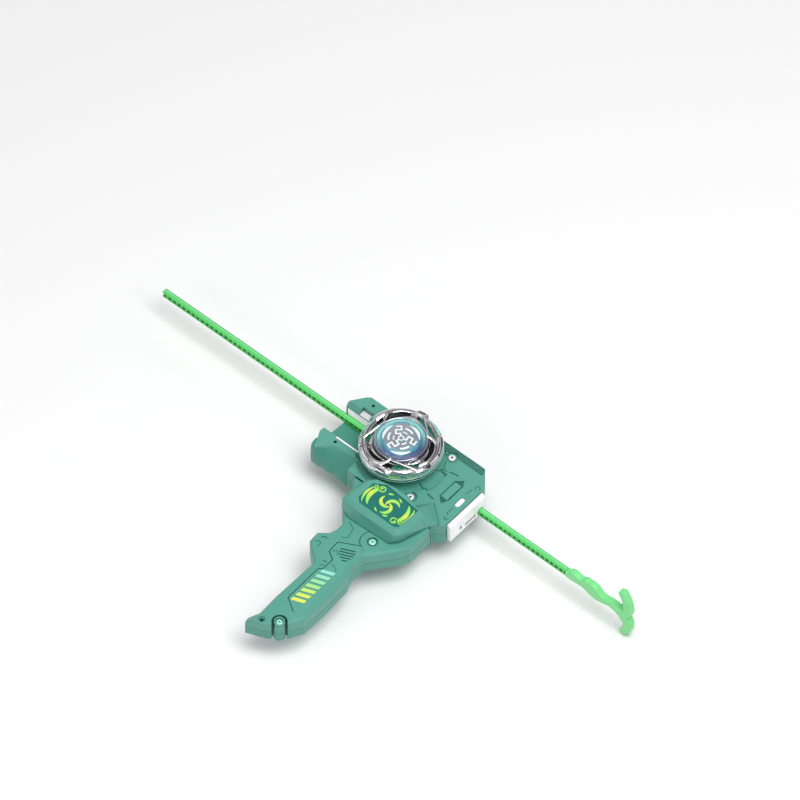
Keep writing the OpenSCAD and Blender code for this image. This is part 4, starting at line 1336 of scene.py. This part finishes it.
@dataclass
class PullGrip:
    """The ripcord's pull handle: a swollen stem and a crossbar with a notch in its outer side.

    Each bar is a run of stations (x, z, half width), and its section is a superellipse.
    """

    mid_y: float = 6.625
    half_t: float = 2.2
    squareness: float = 0.27
    stem: tuple = (
        (117.5, 3.3, 2.1), (119.4, 3.4, 2.3), (121.0, 4.2, 3.5), (124.0, 4.6, 3.7),
        (127.0, 4.4, 3.1), (129.4, 4.4, 3.0), (132.2, 5.0, 4.4), (134.4, 4.5, 4.8),
        (137.2, 4.1, 5.6), (140.0, 3.6, 5.4), (142.2, 2.9, 4.0), (145.2, 2.2, 2.7),
        (149.5, 3.2, 2.4), (154.0, 3.0, 2.8), (157.5, 1.8, 3.9), (160.0, 0.3, 5.5),
        (161.6, -0.9, 6.8),
    )
    cross: tuple = (
        (158.8, 22.0, 2.2), (160.0, 19.8, 2.45), (161.7, 16.4, 2.6), (162.9, 12.8, 2.7),
        (163.3, 9.2, 2.8), (163.2, 6.2, 2.8), (162.6, 4.0, 2.5), (161.2, 1.9, 2.0),
        (162.2, -0.2, 2.4), (163.1, -2.6, 2.7), (163.3, -5.4, 2.8), (163.0, -8.6, 2.8),
        (161.9, -11.4, 2.5), (160.2, -13.7, 2.3), (159.1, -14.9, 2.1),
    )
    steps_each: int = 8
    section_steps: int = 48
    end_share: tuple = (0.78, 0.92, 0.98)

    def bar(self, stations: tuple, upright: bool) -> Surface:
        """Sweeps a superellipse along stations smoothed by a cubic through them.

        A section point at angle a lies at half width times |cos a|^s across the bar and half the
        thickness times |sin a|^s along Y, each with its own sign, where s is the squareness. The
        ends narrow over a few short steps and close flat.

        Args:
            stations: Places x and z of the middle line and the half width there, in order.
            upright: The sections stand upright, not across the line.

        Returns:
            The closed bar's surface.
        """
        x, z, half = smooth(stations, self.steps_each * len(stations)).T
        normal = left_normals(np.column_stack([x, z]))
        if upright:
            normal = np.broadcast_to([0.0, 1.0], normal.shape)
        angle = np.linspace(0, 2 * math.pi, self.section_steps, endpoint=False)
        across, deep = (
            np.sign(wave) * np.abs(wave) ** self.squareness
            for wave in (np.cos(angle), np.sin(angle))
        )
        grow = np.ones(len(x))
        grow[:3] = self.end_share
        grow[-3:] = grow[2::-1]
        points = np.stack([
            x[:, None] + normal[:, :1] * across * (half * grow)[:, None],
            self.mid_y + self.half_t * deep * grow[:, None],
            z[:, None] + normal[:, 1:] * across * (half * grow)[:, None],
        ], -1)
        return close_ends(grid_surface(points, False, True), self.section_steps)

    def build(self) -> None:
        """Makes the stem and the crossbar in one piece."""
        make_piece(
            "pull_grip", [self.bar(self.stem, True), self.bar(self.cross, False)],
            "ripcord_green", Body.RIPCORD, replaces=("pull_handle",),
            sharp_angle=50.0,
        )


@dataclass
class TopTrim:
    """The top: clear ring, yellow inserts, metal blades, chip, bezel and emblem.

    Angles are degrees. What changes round the ring is a row of places, as angles after a hook's
    tip, and a row of values there. A hook's knot is its angle after the tip, its radius, half
    width, top and base. What changes along a stay is its value at the hook and how much it gains.
    An arc of the emblem is its radius, start, sweep and width.

    A point of a section is how far it lies from its edge, inwards from an outer one and outwards
    from an inner one or the middle, and how far below the top, or above the underside at a foot.
    """

    steps: int = 360
    tip_at: float = -72.0
    ring_z0: float = 25.8
    band_rim: tuple = ((0, 3, 7, 38, 42, 119), (24.0, 24.0, 22.1, 22.1, 24.0, 24.0))
    band_drop: tuple = (
        (2, 6, 40, 44, 57, 62, 86, 91, 116), (1.0, 0.5, 0.5, 0.3, 0.3, 2.3, 2.3, 1.0, 1.0)
    )
    band_inner: tuple = ((4, 30, 44, 60, 90, 110), (19.5, 19.1, 20.0, 19.7, 20.3, 19.7))
    band_top: tuple = ((0, 5, 38, 46, 110), (30.2, 29.5, 29.5, 30.35, 30.4))
    band_foot: float = 0.3
    band_edge: tuple = ((0.0, 0.6), (0.12, 0.2), (0.4, 0.0))
    band_crown: tuple = ((0.5, 0.12), (0.2, 0.0), (-0.4, 0.05))
    band_lip: tuple = ((0.3, 0.35), (0.05, 0.6), (0.0, 1.0))
    collar_r0: float = 15.75
    collar_rim: tuple = ((0, 34, 54, 72, 96), (16.6, 16.6, 18.3, 18.1, 16.7))
    collar_top: tuple = ((0, 40, 60, 90), (29.6, 29.6, 30.3, 29.8))
    collar_edge: tuple = ((0.0, 0.6), (0.1, 0.2), (0.35, 0.0))
    collar_crown: float = 0.1
    collar_lip: tuple = ((0.3, 0.05), (0.06, 0.3), (0.0, 0.7))
    hook_knots: tuple = (
        (-68, 20.3, 0.25, 30.5, 29.0), (-54, 20.7, 0.75, 30.8, 29.0), (-40, 20.9, 0.95, 31.0, 29.0),
        (-26, 20.7, 1.05, 31.2, 29.2), (-15, 19.8, 1.1, 31.5, 30.0), (-8, 18.2, 1.05, 31.9, 30.6),
        (-3, 16.2, 0.85, 32.4, 31.4), (0, 14.3, 0.25, 32.8, 32.2),
    )
    stay_ends: tuple = ((-1.0, 15.6), (46.0, 21.6))
    stay_half: tuple = (0.5, 0.3)
    stay_top: tuple = (31.9, -1.5)
    stay_base: tuple = (29.6, -0.6)
    bridge_arc: tuple = (18.4, 54, 12)
    bridge_half: float = 2.0
    bridge_z: tuple = (27.0, 30.2)
    recess_arc: tuple = (18.3, 52, 72)
    recess_w: float = 4.6
    recess_z: tuple = (25.9, 27.4)
    clear_r: float = 24.2
    clear_z0: float = 23.4
    clear_z1: float = 25.7
    clear_foot: tuple = ((0.6, 0.0), (0.15, 0.15), (0.0, 0.6))
    clear_edge: tuple = ((0.0, 0.7), (0.15, 0.25), (0.6, 0.0))
    post_r: float = 14.2
    post_z1: float = 28.55
    post_fillet: float = 0.1
    insert_spots: tuple = ((-61.0, 11.0), (-35.0, 5.5))
    insert_r: float = 21.6
    insert_w: float = 2.4
    insert_gap: tuple = (0.5, 0.3)
    insert_bevel: tuple = (0.15, 0.2)
    bead_r: float = 0.13
    bead_in: float = 0.15
    bead_gap: tuple = (0.2, 0.1)
    chip_r: float = 14.1
    chip_z: float = 32.9
    chip_dome: float = 1.2
    chip_gap: float = 0.1
    chip_round: float = 0.25
    bezel_r: float = 15.6
    bezel_z: float = 31.3
    bezel_rise: float = 0.74
    bend: tuple = (
        (1.3, 0.2), (3.2, 0.2), (3.2, 2.9), (6.0, 2.9), (6.0, -0.4), (8.6, -0.4), (8.6, 2.6),
    )
    bend_turn: float = 12.0
    bend_w: float = 0.95
    emblem_arcs: tuple = ((4.3, 76, 40, 0.8), (7.2, 66, 44, 1.1))
    emblem_crescent: tuple = (10.3, 36, 66, 1.7)
    emblem_ring: tuple = (1.5, 0, 350, 0.7)
    emblem_levels: tuple = ((0.0, -0.12), (0.0, 0.1), (0.08, 0.16))

    def build(self) -> None:
        """Makes all the pieces of the top."""
        for make in (self.metal, self.recess, self.clear, self.beads, self.inserts, self.chip,
                     self.bezel, self.emblem):
            make()

    @property
    def angles(self) -> np.ndarray:
        """Angles of the ring's columns."""
        return np.linspace(0, 360, self.steps, endpoint=False)

    def along(self, places: tuple, values: tuple) -> np.ndarray:
        """Values round the ring from places after a hook's tip, repeated for each hook."""
        way = np.mod(self.angles - self.tip_at, THIRD)
        return np.interp(way, places, values, period=THIRD)

    def ring_points(self, section: list) -> Surface:
        """Turns a section whose radii r and heights z vary with the angle a into a ring.

        Its points are (r cos a, r sin a, z).

        Args:
            section: Pairs of radius and height, each one number or one for each column.

        Returns:
            The closed ring's surface.
        """
        angle = np.radians(self.angles)
        return grid_surface(np.stack([
            np.column_stack([r * np.cos(angle), r * np.sin(angle), z + 0 * angle])
            for r, z in section
        ]), True, True)

    def band(self) -> Surface:
        """Outer band: its rim, slope and inner edge change along each third of the ring.

        After a tip the rim steps in at a notch, then stands full and flat, then slopes steeply.

        Returns:
            The band's surface.
        """
        rim, drop, inner, top = (
            self.along(*row)
            for row in (self.band_rim, self.band_drop, self.band_inner, self.band_top)
        )
        middle = (rim + inner) / 2
        z0, foot = self.ring_z0, self.band_foot
        return self.ring_points([
            (inner, z0), (rim - foot, z0), (rim, z0 + foot),
            *((rim - side, top - drop - down) for side, down in self.band_edge),
            *((middle + side, top - down) for side, down in self.band_crown),
            *((inner + side, top - down) for side, down in self.band_lip),
        ])

    def collar(self) -> Surface:
        """Inner collar round the chip, wider where the flat part of the band meets it.

        Returns:
            The collar's surface.
        """
        inner = self.collar_r0
        outer, top = self.along(*self.collar_rim), self.along(*self.collar_top)
        return self.ring_points([
            (inner, self.ring_z0), (outer, self.ring_z0),
            *((outer - side, top - down) for side, down in self.collar_edge),
            ((inner + outer) / 2, top + self.collar_crown),
            *((inner + side, top - down) for side, down in self.collar_lip),
        ])

    def hook(self, turn: float) -> Surface:
        """One sickle: it follows the band, then curls in and up over the chip's rim to a tip.

        Args:
            turn: Where its tip is.

        Returns:
            The sickle's surface.
        """
        angle, radius, half, top, base = smooth(self.hook_knots, steps=48).T
        angle = np.radians(angle + turn)
        path = np.column_stack([radius * np.cos(angle), radius * np.sin(angle)])
        return crowned_bar(path, half, top, base)

    def stay(self, turn: float) -> Surface:
        """The straight bar from a hook's tip out to the band, over the long window.

        Args:
            turn: Where the tip is.

        Returns:
            The bar's surface.
        """
        ends = np.array([
            (r * math.cos(math.radians(a + turn)), r * math.sin(math.radians(a + turn)))
            for a, r in self.stay_ends
        ])
        way = np.linspace(0, 1, 12)
        path = ends[0] + way[:, None] * (ends[1] - ends[0])
        return crowned_bar(path, *(
            first + gain * way for first, gain in (self.stay_half, self.stay_top, self.stay_base)
        ))

    def bridge(self, turn: float) -> Surface:
        """A flat bridge between collar and band: a short arc as wide as the space between.

        Args:
            turn: Where the hook's tip is that it follows.

        Returns:
            The bridge's surface.
        """
        radius, start, sweep = self.bridge_arc
        path = arc((0, 0), radius, turn + start, sweep, steps=14)
        count = np.ones(len(path))
        low, high = self.bridge_z
        return crowned_bar(path, self.bridge_half * count, high * count, low * count)

    def metal(self) -> None:
        """The metal ring: band, collar and three blades in one piece."""
        surfaces = [self.band(), self.collar()]
        for third in THIRDS:
            turn = self.tip_at + third
            surfaces += [self.hook(turn), self.stay(turn), self.bridge(turn)]
        make_piece(
            "metal_blades", surfaces, "blade_metal", Body.TOP,
            replaces=("blade_ring",), sharp_angle=40.0,
        )

    def recess(self) -> None:
        """Black floor between the collar and the band, left open at the windows: painted shade."""
        radius, start, sweep = self.recess_arc
        levels = [(0.0, z) for z in self.recess_z]
        surfaces = []
        for third in THIRDS:
            path = arc((0, 0), radius, self.tip_at + third + start, sweep, steps=30)
            surfaces.append(prism(ribbon(path, self.recess_w), levels))
        make_piece("blade_recess", surfaces, "recess_shade", Body.TOP)

    def clear(self) -> None:
        """The clear ring: one turned section with a rounded rim and a step to the post."""
        r, z0, z1 = self.clear_r, self.clear_z0, self.clear_z1
        post, fillet = self.post_r, self.post_fillet
        profile = np.array([
            (0, z0), *((r - side, z0 + rise) for side, rise in self.clear_foot),
            *((r - side, z1 - down) for side, down in self.clear_edge),
            (post + fillet, z1), (post, z1 + fillet), (post, self.post_z1), (0, self.post_z1),
        ])
        make_piece(
            "clear_rim", [lathe(profile, steps=160, closed=False)], "clear_teal", Body.TOP,
            replaces=("clear_ring",),
        )

    def beads(self) -> None:
        """Fine moulded beads along both edges of the clear ring, which catch the light, in a pale,
        nearly opaque plastic that is a painted highlight.
        """
        turn = np.linspace(0, 2 * math.pi, 10, endpoint=False)
        surfaces = [
            lathe(np.column_stack([
                self.clear_r - self.bead_in + self.bead_r * np.cos(turn),
                z + self.bead_r * np.sin(turn),
            ]), steps=200, closed=True)
            for z in (self.clear_z0 + self.bead_gap[0], self.clear_z1 - self.bead_gap[1])
        ]
        make_piece(
            "rim_beads", surfaces, "edge_glint", Body.TOP, sharp_angle=60.0
        )

    def inserts(self) -> None:
        """Yellow-green blocks seen through the clear ring, two behind each notch."""
        z0, z1 = self.clear_z0 + self.insert_gap[0], self.clear_z1 - self.insert_gap[1]
        inward, up = self.insert_bevel
        surfaces = []
        for third in THIRDS:
            for spot, half in self.insert_spots:
                path = arc((0, 0), self.insert_r, spot + third - half, 2 * half, steps=12)
                block = ribbon(path, self.insert_w)
                surfaces.append(prism(block, [(inward, z0), (0.0, z0 + up), (0.0, z1)]))
        make_piece("yellow_inserts", surfaces, "insert_yellow", Body.TOP)

    def dome(self, radius: np.ndarray) -> np.ndarray:
        """Height of the chip's face at a radius: it falls by the square of the radius."""
        return self.chip_z - self.chip_dome * (radius / self.chip_r) ** 2

    def chip(self) -> None:
        """The domed face of the chip."""
        radius = np.linspace(0, self.chip_r - self.chip_round, 14)
        face = np.column_stack([radius, self.dome(radius)])
        edge = self.dome(np.array([self.chip_r]))[0] - self.chip_round
        low = self.post_z1 + self.chip_gap
        profile = np.concatenate([face, [(self.chip_r, edge), (self.chip_r, low), (0, low)]])
        make_piece(
            "chip_dome", [lathe(profile, steps=128, closed=False)], "chip_grey", Body.TOP,
            replaces=("face_chip",),
        )

    def bezel(self) -> None:
        """The rounded rim round the chip: its crown is half an ellipse."""
        r0, r1 = self.post_r, self.bezel_r
        low = self.clear_z1 + self.chip_gap
        turn = np.radians(np.linspace(0, 180, 11))
        crown = np.column_stack([
            (r0 + r1) / 2 + (r1 - r0) / 2 * np.cos(turn),
            self.bezel_z + self.bezel_rise * np.sin(turn),
        ])
        profile = np.concatenate([[(r0, low), (r1, low)], crown])
        make_piece(
            "bezel_rim", [lathe(profile, steps=128, closed=True)], "bezel_cyan", Body.TOP,
            replaces=("chip_bezel",),
        )

    def emblem(self) -> None:
        """A plain emblem that lies on the dome: three bent lines, arcs and a small ring."""
        outlines = []
        for third in THIRDS:
            turn = math.radians(third + self.bend_turn)
            spin = np.array([
                [math.cos(turn), math.sin(turn)], [-math.sin(turn), math.cos(turn)]
            ])
            outlines.append(bent_band(np.array(self.bend) @ spin, self.bend_w))
            outlines += [
                ribbon(arc((0, 0), radius, third + start, sweep), width)
                for radius, start, sweep, width in self.emblem_arcs
            ]
            radius, start, sweep, width = self.emblem_crescent
            outlines.append(crescent((0, 0), radius, third + start, sweep, width))
        radius, start, sweep, width = self.emblem_ring
        outlines.append(ribbon(arc((0, 0), radius, start, sweep, steps=48), width))
        make_piece(
            "emblem_lines", [self.lay(outline) for outline in outlines], "emblem_white",
            Body.TOP, replaces=("chip_emblem",),
        )

    def lay(self, outline: np.ndarray) -> Surface:
        """Lays a thin band on the dome: each point's height follows its radius."""
        height = self.dome(np.linalg.norm(outline, axis=1))
        return prism(outline, [(d, height + rise) for d, rise in self.emblem_levels])


@dataclass
class Studio:
    """Floor, light and the camera of the photograph, in metres and degrees.

    A lamp is its name, its place (right of the view, towards the viewer, and up), its length
    across the view and its width, and its power in watts. The sky is a ramp by height.
    """

    azimuth: float = 40.66
    elevation: float = 53.84
    width: float = 0.45045
    shift_right: float = -0.00062
    shift_up: float = 0.04082
    distance: float = 1.6
    floor_gap: float = 0.0006
    floor_half: float = 3.0
    lamps: tuple = (
        ("over", (0.3, 0.42, 1.45), (0.8, 0.8), 17.0),
        ("right", (0.7, 0.73, 1.0), (0.35, 0.35), 1.6),
        ("left", (-0.93, 0.78, 0.7), (0.5, 0.5), 2.2),
    )
    sky: tuple = (
        (0.0, (0.42, 0.42, 0.42)), (0.2, (0.5, 0.5, 0.5)), (0.3, (0.03, 0.03, 0.035)),
        (0.44, (0.05, 0.05, 0.055)), (0.56, (0.62, 0.62, 0.62)), (0.7, (0.5, 0.5, 0.5)),
        (0.77, (0.07, 0.07, 0.08)), (0.85, (0.12, 0.12, 0.13)), (0.93, (0.9, 0.9, 0.9)),
    )
    sky_drift: float = 0.3
    sky_strength: float = 1.22

    def build(self) -> None:
        """Sets the camera, the floor, the light and the plain view of colours."""
        self.camera()
        self.floor()
        self.light()
        bpy.context.scene.view_settings.view_transform = "Standard"

    def camera(self) -> None:
        """Sets the camera: no perspective, looking down along the photograph's line of sight."""
        a, e = math.radians(self.azimuth), math.radians(self.elevation)
        right = Vector((math.cos(a), math.sin(a), 0))
        back = Vector((math.sin(a) * math.cos(e), -math.cos(a) * math.cos(e), math.sin(e)))
        up = back.cross(right)
        data = bpy.data.cameras.new("view")
        data.type = "ORTHO"
        data.ortho_scale = self.width
        data.clip_end = 20.0
        camera = put("view", data)
        place = right * self.shift_right + up * self.shift_up + back * self.distance
        turn = Matrix((right, up, back)).transposed().to_4x4()
        camera.matrix_world = Matrix.Translation(place) @ turn
        bpy.context.scene.camera = camera

    def floor(self) -> None:
        """Lays a pale floor just under the lowest point."""
        finish = Plastic("pale_floor", (0.87, 0.87, 0.87), (0.85, 0.85, 0.85), roughness=0.8,
                         painted_shade_reach=0.0, edge=0.0, patch_scale=3.0, grain_depth=0.00001)
        limits = (-self.floor_half, self.floor_half)
        z = CAD_BOX[0][2] - self.floor_gap
        mesh = bpy.data.meshes.new("floor")
        mesh.from_pydata([(x, y, z) for x, y in oblong(limits, limits)], [], [(0, 1, 2, 3)])
        mesh.materials.append(finish.material())
        put("floor", mesh)

    def lamp(self, name: str, place: tuple, size: tuple, power: float) -> None:
        """Adds a soft light that faces the launch axis.

        Args:
            name: The lamp's name.
            place: Where it stands: right of the view, towards the viewer, and up.
            size: Its length across the view and its width.
            power: Its power in watts.
        """
        a = math.radians(self.azimuth)
        right, near, up = place
        spot = Vector((
            right * math.cos(a) + near * math.sin(a), right * math.sin(a) - near * math.cos(a), up
        ))
        data = bpy.data.lights.new(name, "AREA")
        data.shape = "RECTANGLE"
        data.size, data.size_y = size
        data.energy = power
        lamp = put(name, data)
        lamp.location = spot
        lamp.rotation_euler = (-spot).to_track_quat("-Z", "Y").to_euler()

    def light(self) -> None:
        """Sets a pale world with dark bands, whose edges drift a little, and the lamps."""
        world = bpy.data.worlds.new("studio")
        bpy.context.scene.world = world
        world.use_nodes = True
        bench = NodeBench(world.node_tree)
        world.node_tree.nodes.clear()
        place = bench.add("ShaderNodeTexCoord").outputs["Generated"]
        split = bench.add("ShaderNodeSeparateXYZ", Vector=place)
        drift = bench.add("ShaderNodeTexNoise", Vector=place, Scale=1.7, Detail=1.0)
        height = bench.sum("MULTIPLY_ADD", drift.outputs[0], self.sky_drift, split.outputs[2])
        sky = bench.ramp(bench.sum("SUBTRACT", height, self.sky_drift / 2), self.sky)
        shade = bench.add("ShaderNodeBackground", Color=sky, Strength=self.sky_strength)
        bench.add("ShaderNodeOutputWorld", Surface=shade.outputs[0])
        for lamp in self.lamps:
            self.lamp(*lamp)


def dress_nodes() -> None:
    """Gives every CAD node its finish."""
    for name, finish in NODE_FINISH.items():
        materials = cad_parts[name].data.materials
        materials.clear()
        materials.append(FINISHES[finish])
        LOG.info("%s: CAD node in %s", name, finish)


def main() -> None:
    logging.basicConfig(level=logging.INFO, format="%(name)s %(message)s")
    Studio().build()
    dress_nodes()
    for assembly in (LauncherTrim(), Underside(), FingerCheek(), PullGrip(), TopTrim()):
        LOG.info("%s", type(assembly).__name__)
        assembly.build()


if __name__ == "__main__":
    main()
